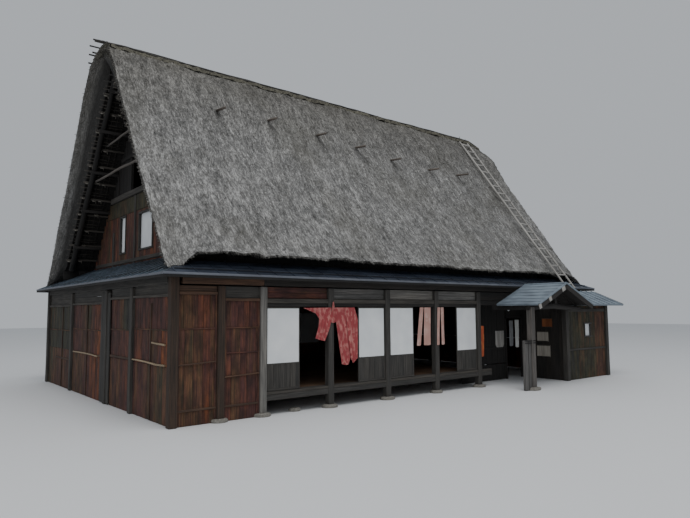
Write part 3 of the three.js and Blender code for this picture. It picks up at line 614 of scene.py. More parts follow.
def sill_and_floor():
    b = Build(FRONT)
    b.rail(1.94, 9.83, 0.375, 0.12, 0.005, 0.11, 0, 0.2, 0.01)
    b.rail(1.94, 9.83, 0.465, 0.058, 0.005, 0.11, 0, 1.0, 0.01)
    b.rail(1.94, 9.35, 0.42, 0.15, -0.125, 0.14, 0, 0.3, 0.01, 0)
    for y in (-0.033, 0.0, 0.033):
        b.bar((2.08, y, 0.4985), (9.19, y, 0.4985), 0.012, 0.004, INWARD, 0, 0.6, 0.001)
    b.make("sill_front_beam", (SLATE,), "sill_front")
    b = Build()
    for y, w in spread(0.205, 9.91, 0.2, 0.3, 0):
        for x0, x1 in ((0.102, 3.098), (3.102, 6.198), (6.202, 9.188)):
            b.bar((x0, y, 0.483), (x1, y, 0.483), w - JOINT, 0.028, INWARD, 0, rng.uniform(0.1, 0.9), 0.003)
    for x in np.arange(0.6, 9.2, 0.909):
        b.bar((x, 0.22, 0.452), (x, 9.9, 0.452), 0.07, 0.03, ACROSS, 1, 0.3, 0.004)
    b.make("floor_deck_planks", (PLANK, DARK), "floor_deck")
    b = Build()
    for x, w in spread(0.1, 14.9, 0.22, 0.34, 0):
        b.bar((x, 0.115, 3.03), (x, 9.9, 3.03), w - JOINT, 0.03, ACROSS, 0, rng.uniform(0.1, 0.9), 0.003)
    for y in np.arange(0.9, 9.9, 0.9):
        b.bar((0.1, y, 3.0), (14.9, y, 3.0), 0.06, 0.02, UP, 0, 0.3, 0.004)
    b.make("attic_floor_planks", (DARK,), "attic_floor")


def head_front():
    b = Build(FRONT)
    boards = ((1, (0.58, 0.68)), (0, (0.0, 0.3)), (5, (0.0, 0.6)), (5, (0.0, 0.6)))
    for left, right, (slot, tint) in zip(FRONT_POSTS, FRONT_POSTS[1:], boards):
        u0, u1 = left + 0.08, right - 0.08
        b.rail(u0, u1, 2.355, 0.075, -0.03, 0.14, 2, warp=0)
        b.rail(u0, u1, 2.445, 0.1, 0.045, 0.045, 3, 1.0, 0.008, 0.003)
        b.levels(u0, u1, 2.5, 2.75, tint, 0.13, slot, -0.01)
        b.rail(u0, u1, 2.445, 0.11, -0.06, 0.09, 2, 0.4, warp=0)
    b.rail(9.36, 12.4, 2.43, 0.13, -0.03, 0.12, 2, 0.3, 0.008, 0)
    b.levels(9.36, 14.9, 2.5, 2.75, (0.1, 0.5), 0.13, 2, -0.01)
    b.rail(0.15, 2.0, 2.895, 0.24, 0, 0.15, 4, 0.7, 0.01)
    b.rail(2.0, LENGTH - 0.15, 2.895, 0.24, 0, 0.15, 2, 0.8, 0.01)
    b.make("head_front_timbers", (GREY, RED, DARK, SLATE, BROWN, SILVER), "head_front")


# Sliding panels: thin frame, paper above, upright boards below
def panels():
    broad = 0.87
    for name, x in PANELS.items():
        b = Build(facing(-0.01, x))
        for u in (0.014, broad - 0.014):
            b.stud(u, 0.504, 2.31, 0.028, 0, 0.03, 1, 0.4, 0.003)
        for z, h in ((0.53, 0.05), (1.085, 0.034), (2.293, 0.034)):
            b.rail(0.028, broad - 0.028, z, h, 0, 0.028, 1, 0.4, 0.003, 0)
        b.boards(0.028, 0.842, 0.555, 1.068, (0.1, 0.5), 0, 1, (0.13, 0.17))
        rows = []
        for z in np.linspace(1.095, 2.28, 15):
            ripple = [0.0012 * wander(x + i, z * 3, 1) for i in range(13)]
            rows.append([(x + 0.02 + 0.83 * i / 12, -0.0245 + ripple[i], z) for i in range(13)])
        b.grid(rows)
        for i in range(1, 4):
            b.stud(broad * i / 4, 1.1, 2.28, 0.008, -0.006, 0.014, 1, 0.3, 0.001)
        for i in range(1, 7):
            b.rail(0.03, broad - 0.03, 1.1 + 1.18 * i / 7, 0.008, -0.007, 0.012, 1, 0.3, 0.001, 0)
        b.make(f"{name}_screen", (PAPER, SLATE), name, f"{name}_body")


def papers():
    thick = 0.002
    b = Build()
    for u0, u1 in BACK_WINDOWS:
        us = np.linspace(u0 - 0.05, u1 + 0.05, 8)
        b.grid([[(u, 9.915, z) for u in us] for z in np.linspace(0.86, 2.14, 8)])
    b.make("paper_back_sheets", (PAPER,), "paper_back", thickness=thick)
    for side, x in (("left", 1.064), ("right", 13.936)):
        b = Build()
        for y0, y1, z1 in ((3.87, 4.87, 4.93), (5.94, 6.43, 4.99)):
            b.grid([[(x, y, z) for y in np.linspace(y0, y1, 6)] for z in np.linspace(3.9, z1, 6)])
        b.make(f"paper_gable_{side}_sheets", (PAPER,), f"paper_gable_{side}", thickness=thick)
    b = Build()
    xs = np.linspace(13.575, 14.045, 6)
    b.grid([[(x, -0.875, z) for x in xs] for z in np.linspace(1.305, 1.815, 6)])
    b.make("paper_annex_sheet", (PAPER,), "paper_annex", thickness=thick)


# Pent roofs: sheet metal with low seams down the slope, over a timber eave, mitred at the corners
def pent_roof(side, start, end, inward, depth, metal):
    a, inward = Vector(start), Vector(inward)
    along = (Vector(end) - a).normalized()
    length = (Vector(end) - a).length
    rise = Vector((0, 0, PENT_PITCH))
    b = Build()

    def at(u, v, lift):
        return a + along * u + inward * v + rise * v + Vector((0, 0, lift))

    def reach(u):
        return min(depth, u, length - u)

    steps, columns = max(4, int(depth / 0.16)), int(length / 0.3)
    for i in range(steps):
        rows = []
        for v, lift in ((depth * i / steps, 0.1), (depth * (i + 1) / steps, 0.094)):
            row = []
            for k in range(columns + 1):
                dent = 0.004 * wander(k * 0.7, v * 3, 2.0)
                row.append(at(v + (length - 2 * v) * k / columns, v, lift + dent))
            rows.append(row)
        b.grid(rows)
    for u in np.arange(0.25, length - 0.2, PENT_SEAMS):
        b.bar(at(u, 0.0, 0.104), at(u, reach(u), 0.1), 0.022, 0.02, along, 0, 0.5, 0.004)
    b.bar(at(0, 0.014, 0.035), at(length, 0.014, 0.035), 0.06, 0.02, UP, 1, 0.2, 0.005, 0.004)
    b.bar(at(0, 0.006, 0.082), at(length, 0.006, 0.082), 0.045, 0.026, UP, 2, 0.5, 0.008, 0.004)
    for u in np.arange(0.3, length - 0.2, PENT_SEAMS):
        b.bar(at(u, 0.02, 0.03), at(u, reach(u), 0.03), 0.05, 0.055, along, 1, rng.uniform(0.2, 0.6), 0.005)
    b.bar(at(0.3, 0.3, 0.068), at(length - 0.3, 0.3, 0.068), 0.2, 0.012, inward, 1, 0.3, 0.003)
    under = np.linspace(0, depth, 4)
    b.grid([[at(v + (length - 2 * v) * k / 30, v, 0.062) for k in range(31)] for v in under], 1)
    b.make(f"pent_{side}_sheets", (metal, SOOT_AND_SHADE, METAL_EDGE), f"pent_{side}")


def pent_roofs():
    z = 2.87
    x0, x1, y0, y1 = -0.37, 15.37, -0.39, 10.39
    pent_roof("front", (x0, y0, z), (x1, y0, z), (0, 1, 0), 0.72, METAL_SHADED)
    pent_roof("back", (x1, y1, z), (x0, y1, z), (0, -1, 0), 0.72, METAL_EAVE_SHADE)
    pent_roof("left", (x0, y1, z), (x0, y0, z), (1, 0, 0), 1.37, METAL_EAVE_SHADE)
    pent_roof("right", (x1, y0, z), (x1, y1, z), (-1, 0, 0), 1.37, METAL_EAVE_SHADE)


# Thatch: a slab in three directions, s up the slope, x along the house, w through the thickness
def slope_point(s):
    ys, zs = zip(*OUTER_SLOPE)
    lengths = [0.0]
    for (ya, za), (yb, zb) in zip(OUTER_SLOPE, OUTER_SLOPE[1:]):
        lengths.append(lengths[-1] + math.hypot(yb - ya, zb - za))
    want = s * lengths[-1]
    return float(np.interp(want, lengths, ys)), float(np.interp(want, lengths, zs))


def inner_point(s):
    a, c, t = INNER_MID, INNER_TOP, (s - FOOT) / (1 - FOOT)
    if s <= FOOT:
        a, c, t = INNER_LOW, INNER_MID, s / FOOT
    return a[0] + (c[0] - a[0]) * t, a[1] + (c[1] - a[1]) * t


# The ridge sinks toward the far end
def sag(x):
    return END_SAG * max(0.0, x - SAG_START) / (FAR - SAG_START)


def thatch_point(x, s, w, mirror, rough=True):
    yo, zo = slope_point(s)
    yi, zi = inner_point(s)
    droop = float(np.interp(x, DROOP_X, DROOP_Z))
    weight = max(0.0, 1 - yo / 1.5)
    zo -= droop * weight + sag(x) * min(1.0, max(0.0, (yo - 3.61) / 0.54))
    zi -= 0.45 * droop * max(0.0, 1 - s / FOOT)
    y, z = yo + (yi - yo) * w, zo + (zi - zo) * w
    near, far = max(0.0, 1 - (x - NEAR) / 0.9), max(0.0, 1 - (FAR - x) / 0.9)
    p = Vector((x + 0.33 * w * (near - far), y, z))
    if rough:
        q = Vector((p.x, y + (40 if mirror else 0), z))
        waves = ((0.05, 0.7), (0.028, 2.3), (0.02, 6.5), (0.02, 14))
        p += SLOPE_OUT * (sum(size * noise.noise(q * rate) for size, rate in waves) - 0.03) * (1 - 0.5 * w)
        hem = wander(x * 1.1, 5.0, 1.0) + wander(x * 3.1, 8.0, 1.0)
        p.z += (0.03 * hem + 0.02) * weight
    if mirror:
        p.y = WIDTH - p.y
    return p


# Dark streak below each pin that sticks out of the thatch: a stain with the pin's shadow painted into it
def stain(x, z):
    low = 0.0
    for px, _, pz in PINS:
        drop = pz + 0.04 - z
        if -0.03 < drop < 1.0:
            spread = 1 - abs(x - px - 0.05 * drop) / (0.11 + 0.05 * drop)
            low = max(low, 0.62 * max(0.0, spread) * (1 - drop))
    return low


def thatch(side, mirror):
    b = Build()
    xs = [*np.linspace(NEAR, 0.2, 8)[:-1], *np.linspace(0.2, 14.7, 225), *np.linspace(14.7, FAR, 8)[1:]]
    ss = [*np.linspace(0, 0.04, 7)[:-1], *np.linspace(0.04, 1, 116)]
    ws = np.linspace(0, 1, 9)

    def face(cells, shade=lambda w: 0.0, rough=True):
        cells = [list(reversed(row)) for row in cells] if mirror else cells
        start = len(b.points)
        flat = [cell for row in cells for cell in row]
        lay = [(x + 0.5 * w, 9.2 * s, 0.8 * w) for x, s, w in flat]
        b.grid([[thatch_point(*cell, mirror, rough) for cell in row] for row in cells], 0, 0.0, lay)
        for i, (_, _, w) in enumerate(flat, start):
            x, _, z = b.points[i]
            b.tint[i] = max(0.0 if mirror else stain(x, z), shade(w))

    # The verge ends darken inward: soot and painted shade
    def verge(w):
        return min(0.92, 0.3 * min(1.0, w / 0.1) + max(0.0, (w - 0.3) / 0.5))

    face([[(x, s, 0.0) for x in xs] for s in ss])
    # The eave face darkens toward the inside: painted shade under the eave
    face([[(x, 0.0, w) for x in xs] for w in reversed(ws)], lambda w: 0.9 * min(1.0, w / 0.5))
    face([[(NEAR, s, w) for w in reversed(ws)] for s in ss], verge)
    face([[(FAR, s, w) for w in ws] for s in ss], verge)
    inside = np.linspace(FAR, NEAR, 60)
    # The underside is near black: painted shade
    face([[(x, s, 1.0) for x in inside] for s in np.linspace(0, 1, 14)], lambda w: 1.0, False)
    b.make(f"thatch_{side}_reed", (THATCH,), f"thatch_{side}")


# Loose reeds: thin blades over the surface, thick along the eave and the verges
def reeds(side, mirror, count, fringe):
    rnd = random.Random(11 if mirror else 5)
    b = Build()

    def blade(root, direction, width, length):
        turn = Vector((rnd.uniform(-1, 1), rnd.uniform(-1, 1), rnd.uniform(-1, 1)))
        half = direction.cross(turn).normalized() * width / 2
        mid = root + direction * length * 0.55
        base = len(b.points)
        tip = root + direction * length
        outline = (root - half, root + half, mid - half * 0.8, mid + half * 0.8, tip)
        b.points.extend(tuple(p) for p in outline)
        b.faces.extend(((base, base + 1, base + 3, base + 2), (base + 2, base + 3, base + 4)))

    flip = -1 if mirror else 1
    out = Vector((0, SLOPE_OUT.y * flip, SLOPE_OUT.z))
    for _ in range(count):
        x, s = rnd.uniform(NEAR + 0.02, FAR - 0.02), rnd.uniform(0.0, 0.985)
        p = thatch_point(x, s, 0.0, mirror)
        down = Vector((rnd.uniform(-0.45, 0.45), -0.55 * flip, -0.8)).normalized()
        down = (down + out * rnd.uniform(0.05, 0.35)).normalized()
        blade(p - out * 0.006, down, rnd.uniform(0.006, 0.016), rnd.uniform(0.05, 0.16))
    for _ in range(fringe):
        place = rnd.random()
        if place < 0.62:
            x, s, w = rnd.uniform(NEAR, FAR), 0.0, rnd.random() ** 1.6 * 0.9
            down = Vector((rnd.uniform(-0.3, 0.3), -0.55 * flip, -0.75))
        else:
            x, push = (NEAR, -0.7) if place < 0.84 else (FAR, 0.7)
            s, w = rnd.random(), rnd.random() * 0.3
            down = Vector((push, rnd.uniform(-0.5, 0.2) * flip, rnd.uniform(-0.9, -0.1)))
        p = thatch_point(x, s, w, mirror)
        blade(p, down.normalized(), rnd.uniform(0.006, 0.014), rnd.uniform(0.03, 0.08))
    b.grain, b.tint, b.slots = b.points, [0.0] * len(b.points), [0] * len(b.faces)
    b.make(f"thatch_{side}_loose", (THATCH_LOOSE,))


# Reed packed over the ridge, held by sticks laid along and across it
def ridge_cap():
    b = Build()
    half = [(0.88, 9.06), (0.84, 9.17), (0.62, 9.28), (0.35, 9.39)]
    profile = [(-d, z) for d, z in half] + [(0, 9.44), *reversed(half)]
    profile += [(0.5, 9.13), (-0.5, 9.13), (-0.88, 9.06)]
    ends = (NEAR + 0.06, FAR - 0.06)
    rows = []
    for x in np.linspace(*ends, 300):
        wave = 0.025 * wander(x * 1.3, 0.5, 3)
        row = []
        for d, z in profile:
            ragged = wander(x * 6, d * 6, z * 4) * 0.035
            step = 0.04 * abs(wander(x * 3.5, round(d * 2), 8)) if abs(d) > 0.5 else 0.0
            row.append((x, MIDDLE + d * (0.985 + ragged), z - 0.02 - sag(x) + wave + ragged - step))
        rows.append(row)
    b.grid(rows, 0, 0.1)
    for x in ends:
        for k in range(3):
            z, reach = 9.14 - sag(x) + 0.07 * k, 0.75 - 0.1 * k
            b.bar((x, MIDDLE - reach, z), (x, MIDDLE + reach, z), 0.09, 0.07, UP, 0, 0.35, 0.02, 0.03)
    for x in np.arange(0.15, FAR, 0.36):
        z = 9.395 - sag(x)
        for sign in (-1, 1):
            foot = (x + rng.uniform(-0.05, 0.05), MIDDLE + sign * 0.87, z - 0.32)
            b.log((x, MIDDLE + sign * 0.35, z - 0.05), foot, 0.016, 0.014, 1, 0.3, 6, 0.01)
    for d, z in ((-0.80, 9.175), (-0.45, 9.345), (0.45, 9.345), (0.80, 9.175)):
        y = MIDDLE + d
        b.log((NEAR - 0.05, y, z), (SAG_START, y, z), 0.024, 0.022, 1, 0.25, 7, 0.02)
        b.log((SAG_START, y, z), (FAR - 0.1, y, z - sag(FAR)), 0.022, 0.02, 1, 0.25, 7, 0.01)
    for y, z, reach in ((4.62, 9.36, 0.32), (4.85, 9.43, 0.22), (4.3, 9.22, 0.30), (5.2, 9.42, 0.25),
                        (5.5, 9.3, 0.18)):
        b.log((NEAR - reach + 0.06, y, z - 0.01), (NEAR + 0.5, y, z), 0.022, 0.02, 1, 0.2, 6, 0.0)
    for x, rise in ((14.25, 0.05), (14.6, 0.09), (14.95, 0.04)):
        z = 9.3 - sag(x)
        b.log((x, 4.75, z), (x + 0.05, 4.65, z + 0.14 + rise), 0.014, 0.01, 1, 0.3, 6, 0.01)
    b.make("ridge_cap_reed", (MOSSY_REED, SLATE), "ridge_cap")


# Wooden pins that stick out of the front thatch below the ridge
def pins():
    b = Build()
    for x, y, z in PINS:
        b.log((x, y + 0.3, z + 0.08), (x, y - 0.41, z + 0.01), 0.036, 0.032, 0, 0.9, 9, 0.004)
    b.make("ridge_pins", (GREY,), smooth=True)


# Rafters, purlins and thin poles under the thatch, tied with straw rope
def roof_frame(side, mirror):
    b = Build()
    y0, z0 = INNER_MID
    run, rise = INNER_TOP[0] - y0, INNER_TOP[1] - z0
    length = math.hypot(run, rise)
    ay, az = run / length, rise / length

    def at(x, s, depth):
        y, z = y0 + ay * s + az * depth, z0 + az * s - ay * depth
        return Vector((x, WIDTH - y if mirror else y, z))

    def along(x0, x1, s, depth, *shape):
        b.log(at(x0, s, depth), at(x1, s, depth), *shape)

    def upward(x, s0, s1, depth, *shape):
        b.log(at(x, s0, depth), at(x, s1, depth), *shape)

    for x in RAFTERS_X:
        low = -0.35 if 1 < x < 14 else 0.0
        upward(x, low, length - 0.14, 0.1, 0.085, 0.065, 0, 0.4, 9, 0.015)
    levels = np.arange(0.35, 6.4, 0.55)
    for s in levels:
        along(0.12, 14.9, s, 0.05, 0.035, 0.03, 2, 0.8, 7, 0.015, 0.9)
        for step, start in ((0.13, 0.10), (0.22, 0.16), (0.36, 0.08)):
            for end in (start, LENGTH - start - 0.8):
                along(end, end + 0.8, s + step, 0.02, 0.018, 0.016, 2, (3.7 * s + step) % 1, 6, 0.01)
    for s in (0.9, 2.2, 3.5, 4.8, 6.0):
        along(0.2, 14.85, s, 0.17, 0.05, 0.045, 0, 0.9, 8, 0.015, 0.9)
    for x in np.arange(0.2, 1.0, 0.16):
        for end in (x, LENGTH - x):
            upward(end, 0.05, length - 0.2, 0.015, 0.02, 0.018, 0, 0.9, 6, 0.01)
    for s in levels:
        for x, radius in ((0.2, 0.05), (0.34, 0.06), (0.52, 0.05), (0.68, 0.05)):
            for end in (x, LENGTH - x):
                if rng.random() < 0.8:
                    centre = at(end, s + rng.uniform(-0.05, 0.05), 0.05)
                    ring(b, centre, radius, 0.012, at(end, s + 1, 0.05) - centre, 1)
    y = WIDTH - 0.835 if mirror else 0.835
    for x in np.arange(0.13, 14.8, 0.468):
        near = min(x, LENGTH - x - 0.468)
        low = max(3.25, 2.95 + PENT_PITCH * (near + 0.37)) if near < 1.0 else 3.25
        z = (low + 3.57) / 2
        b.bar((x, y, z), (x + 0.464, y, z), 3.57 - low, 0.025, UP, 0, rng.uniform(0, 0.5), 0.004)
    b.make(f"rafters_{side}_poles", (SOOT_AND_SHADE, ROPE, SLATE), f"rafters_{side}", smooth=True)


# A few turns of rope round a crossing, with a loose end
def ring(build, centre, radius, thick, axis, slot):
    axis = Vector(axis).normalized()
    across = Vector(ACROSS)
    out = axis.cross(across).normalized()
    points = []
    for i in range(17):
        a = 2 * math.pi * i / 8
        turn = across * radius * math.cos(a) + out * radius * math.sin(a)
        points.append(centre + axis * (0.02 * i / 16 - 0.01) + turn)
    for p, q in zip(points, points[1:]):
        build.log(p, q, thick, thick, slot, 0.5, 5, 0.0, 1.0)
    end = points[-1] + Vector((0.0, 0.0, -0.09))
    build.log(points[-1], end, thick * 0.8, thick * 0.5, slot, 0.5, 5, 0.01, 1.0)


# Recessed upper gable: boards, window frames, tie beam, posts and open vent
def gable_upper(side, x, outward):
    b = Build(Plane((x, 0, 0), INWARD, (outward, 0, 0)))
    pitch = (INNER_TOP[1] - INNER_MID[1]) / (INNER_TOP[0] - INNER_MID[0])

    def half(z):
        return MIDDLE - (INNER_MID[0] + (z - INNER_MID[1]) / pitch + 0.27)

    def under(y, gap):
        return INNER_MID[1] + (MIDDLE - abs(y - MIDDLE) - gap - INNER_MID[0]) * pitch

    windows = ((3.90, 4.84, 3.93, 4.90), (5.97, 6.40, 3.93, 4.96))
    breaks = [edge for y0, y1, _, _ in windows for edge in (y0 - 0.02, y1 + 0.02)]
    breaks = [MIDDLE - half(3.1), *breaks, MIDDLE + half(3.1)]
    for k, stretch in enumerate(zip(breaks, breaks[1:])):
        for mid, w in spread(*stretch, 0.12, 0.2):
            top = min(5.48, under(mid, 0.1))
            spans = [(3.06, min(top, 5.02)), (5.03, top)]
            if k % 2 == 1:
                spans = [(3.06, windows[k // 2][2]), (windows[k // 2][3], 5.02), (5.03, top)]
            for z0, z1 in spans:
                if z1 - z0 > 0.05:
                    tone = rng.uniform(0.12, 0.3) if z0 > 5.0 else rng.uniform(0.3, 0.85)
                    b.stud(mid, z0, z1, w - 0.005, 0, 0.024, 0, tone, 0.003)
    for y0, y1, z0, z1 in windows:
        for z in (z0 - 0.02, z1 + 0.02):
            b.rail(y0 - 0.06, y1 + 0.06, z, 0.05, 0.015, 0.05, 1, 0.3, 0.005, 0)
        for y in (y0 - 0.02, y1 + 0.02):
            b.stud(y, z0, z1, 0.045, 0.015, 0.05, 1, 0.3, 0.005)
    for reach, *beam in ((half(5.57) - 0.02, 5.57, 0.16, 0.03, 0.1, 1, 0.5, 0.012, 0.01),
                         (half(3.65) - 0.05, 3.66, 0.1, 0.02, 0.07, 1, 0.5, 0.01, 0.005),
                         (half(6.68), 6.68, 0.12, 0.02, 0.08, 2, 0.8, 0.012, 0.01)):
        b.rail(MIDDLE - reach, MIDDLE + reach, *beam)
    for y in (3.3, 4.4, 5.6, 6.7):
        b.stud(y, 5.65, min(6.62, under(y, 0.3)), 0.09, 0.01, 0.07, 2, 0.6, 0.01)
    for y, top in ((3.0, 4.6), (5.2, 5.48), (7.0, 4.6)):
        b.stud(y, 3.06, top, 0.1, 0.015, 0.06, 1, 0.4, 0.01)
    u, lap = MIDDLE - half(5.66), 0.0
    while u < MIDDLE + half(5.66):
        w = rng.uniform(0.12, 0.2)
        mid = u + w / 2
        top = under(mid, 0.12)
        low = 5.64 if abs(mid - MIDDLE) > 0.56 else 6.7
        if top - low > 0.05:
            b.stud(mid, low, top, w + 0.008, -0.012 - lap, 0.024, 2, rng.uniform(0.2, 0.8), 0.003)
        lap = 0.006 - lap
        u += w
    b.make(f"gable_upper_{side}_boards", (RED, SLATE, SOOT_AND_SHADE), f"gable_upper_{side}")


# Poles tied across both gables under the overhang
def gable_poles():
    b = Build()
    for x in (0.42, LENGTH - 0.42):
        b.log((x, 2.98, 6.02), (x, 7.02, 6.10), 0.035, 0.03, 0, 0.6, 8, 0.02)
        b.log((x + 0.1, 3.75, 7.05), (x + 0.1, 6.25, 7.0), 0.03, 0.028, 0, 0.6, 8, 0.02)
    b.make("gable_tie_poles", (GREY,), smooth=True)


# Entrance recess: back wall with a doorway, a bare hung board and a round lamp
def recess():
    back = facing(0.7)
    b = Build(back)
    for u0, u1, z0, z1 in ((9.25, 11.56, 0.52, 2.97), (9.36, 11.56, GROUND, 0.5),
                           (11.6, 12.4, 1.99, 2.97), (12.42, 12.47, GROUND, 2.97)):
        b.boards(u0, u1, z0, z1, (0.1, 0.7))
    for u in (11.57, 12.43):
        b.stud(u, 0.0, 2.0, 0.06, 0.01, 0.07, 0, 0.6, 0.006)
    b.rail(11.54, 12.46, 1.98, 0.07, 0.01, 0.07, 0, 0.6, warp=0)
    b.rail(9.36, 11.54, 1.0, 0.06, 0.02, 0.03, 0, 0.5)
    rows = []
    for k in range(13):
        t = k / 12
        half = 0.225 * (1 - max(0.0, t - 0.7) ** 2 * 5)
        rows.append([back.at(11.24 + half * c, 1.55 - 0.56 * t, 0.03 + 0.006 * math.cos(9 * c))
                     for c in np.linspace(-1, 1, 13)])
    b.grid(rows, 2, 0.6)
    rows = []
    for a in np.linspace(0, math.pi, 9):
        girth, z = math.sin(a), 2.25 + 0.07 * math.cos(a)
        rows.append([back.at(11.74 + 0.07 * girth * math.cos(c), z, 0.035 + 0.03 * girth * math.sin(c))
                     for c in np.linspace(0, 2 * math.pi, 17)])
    b.grid(rows, 3, 1.0)
    b.make("wall_recess_back_boards", (SOOT_AND_SHADE, GREY, GREY_POLE, PAPER), "wall_recess_back")
    b = Build(Plane((9.272, 0, 0), INWARD, (1, 0, 0)))
    b.boards(0.21, 0.679, 0.5, 2.74, (0.1, 0.7))
    b.make("wall_recess_left_boards", (SOOT_AND_SHADE,), "wall_recess_left")


# Annex: its side with three bare boards hung on it, and its front with one small window
def annex():
    b = Build(Plane((12.5, 0, 0), INWARD, (-1, 0, 0)))
    b.boards(-0.82, 0.72, GROUND, 2.33, (0.2, 0.9))
    b.boards(-0.39, 0.72, 2.33, 2.48, (0.2, 0.6))
    for u0, u1, z0, z1, slot in ((-0.3, 0.1, 1.19, 1.52, 1), (-0.36, 0.12, 0.70, 1.08, 1),
                                 (-0.45, -0.1, 1.65, 1.95, 2)):
        b.stud((u0 + u1) / 2, z0, z1, u1 - u0, 0.03, 0.022, slot, 0.5, 0.003)
        for z in (z0 + 0.012, z1 - 0.012):
            b.rail(u0, u1, z, 0.024, 0.042, 0.012, 3, 0.5, 0.002, 0)
    b.make("wall_annex_left_boards", (DARK, NOTICE, ORANGE_WOOD, SLATE), "wall_annex_left")
    b = Build(facing(-0.9))
    for x, top in ((12.5, 2.33), (15.0, 2.54)):
        b.stud(x, 0, top, POST, 0, POST, 1, 0.4, 0.01, 0.004)
    for u0, u1, z0, z1, tint in ((12.6, 13.62, GROUND, 2.55, (0.0, 0.25, 0.1, 0.2)),
                                 (14.0, 14.91, GROUND, 2.55, (0.15, 0.3, 0.45, 0.42)),
                                 (13.62, 14.0, GROUND, 1.35, (0.1, 0.4)),
                                 (13.62, 14.0, 1.77, 2.55, (0.0, 0.3))):
        b.boards(u0, u1, z0, z1, tint, slot=2)
    for z in (1.345, 1.775):
        b.rail(13.56, 14.06, z, 0.045, 0.01, 0.06)
    for u in (13.635, 13.985):
        b.stud(u, 1.35, 1.77, 0.035, 0.01, 0.04)
    b.rail(12.58, 14.92, 2.2, 0.1, 0.03, 0.04, 1, 0.4)
    b.rail(12.58, 14.92, 0.95, 0.06, 0.02, 0.03, 1, 0.4)
    b.make("wall_annex_front_boards", (DARK, SLATE, RED), "wall_annex_front")


# A pitched sheet roof with its underside, and seams down the slope or level laps
def sheet_slope(b, a, c, down, fall, level=False):
    thick, tile = 0.05, 0.2
    a, c, down = Vector(a), Vector(c), Vector(down)
    along = (c - a).normalized()
    length = (c - a).length
    normal = along.cross(down).normalized()
    turned = normal.z > 0
    normal = normal if turned else -normal
    columns, lines = max(4, int(length / tile)), max(3, int(fall / tile))
    rows = []
    for i in range(lines + 1):
        dents = [0.004 * wander(k * 0.8, i * 0.8, a.x) for k in range(columns + 1)]
        start = a + down * fall * i / lines
        row = [start + along * length * k / columns + normal * dent for k, dent in enumerate(dents)]
        rows.append(row[::-1] if turned else row)
    b.grid(rows)
    b.grid([[p - normal * thick for p in reversed(row)] for row in rows], 1, 0.4)
    if level:
        for v in np.arange(0.2, fall - 0.1, 0.24):
            start = a + down * v + normal * 0.008
            b.bar(start, start + along * length, 0.02, 0.008, down, 0, 0.5, 0.003)
    else:
        for u in np.arange(0.03, length, 0.36):
            start = a + along * u + normal * 0.012
            b.bar(start, start + down * fall, 0.03, 0.026, along, 0, 0.5, 0.006)
    edge = a + down * fall - normal * thick / 2
    b.bar(edge, edge + along * length, thick + 0.01, 0.02, normal, 0, 0.5, 0.005)


def small_roofs():
    b = Build()
    fall = math.hypot(PORCH_HALF, PORCH_DROP)
    start, end = (PORCH_RIDGE, -1.8, PORCH_TOP), (PORCH_RIDGE, ROOF_LINE, PORCH_TOP)
    for sign in (-1, 1):
        sheet_slope(b, start, end, Vector((sign * PORCH_HALF, 0, -PORCH_DROP)) / fall, fall - 0.01, True)
    b.log((PORCH_RIDGE, -1.815, PORCH_TOP), (PORCH_RIDGE, -0.4, PORCH_TOP), 0.03, 0.03, 0, 0.5, 10, 0.0)
    for y in np.arange(-1.7, -0.45, 0.4):
        for sign in (-1, 1):
            top, foot = PORCH_RIDGE + sign * 0.05, PORCH_RIDGE + sign * 1.4
            b.bar((top, y, 2.90), (foot, y, 2.335), 0.05, 0.05, INWARD, 1, 0.4, 0.005)
    b.make("porch_roof_sheets", (METAL, DARK), "porch_roof")
    b = Build()
    for sign in (-1, 1):
        top, foot = PORCH_RIDGE + sign * 0.01, PORCH_RIDGE + sign * PORCH_HALF
        b.bar((top, -1.815, 2.90), (foot, -1.815, 2.30), 0.17, 0.028, UP, 0, 0.5, 0.006, 0.004)
        b.bar((top, -1.822, 2.985), (foot, -1.822, 2.385), 0.05, 0.03, UP, 1)
    for t, width in ((0.13, 0.16), (0.62, 0.12), (0.97, 0.1)):
        x, z = PORCH_RIDGE - PORCH_HALF * t, 2.90 - PORCH_DROP * t
        half, rise = width / 2, width * 0.2
        b.bar((x + half, -1.825, z + rise), (x - half, -1.825, z - rise), 0.13, 0.03, UP, 2, 0.8)
    b.make("porch_bargeboards", (DARK, METAL, GREY_POLE), "porch_bargeboard")
    b = Build()
    fall = math.hypot(1.026, 1.026 * PENT_PITCH)
    down = Vector((0, -1.026, -1.026 * PENT_PITCH)) / fall
    sheet_slope(b, (12.535, ROOF_LINE, 2.846), (15.31, ROOF_LINE, 2.846), down, fall)
    for x in np.arange(12.7, 15.25, 0.4):
        b.bar((x, -0.42, 2.78), (x, -1.38, 2.37), 0.05, 0.045, ACROSS, 1, 0.4, 0.005)
    b.bar((15.30, -0.42, 2.80), (15.30, -1.4, 2.37), 0.08, 0.025, UP, 1, 0.4, 0.005)
    b.make("annex_roof_sheets", (METAL, DARK), "annex_roof")


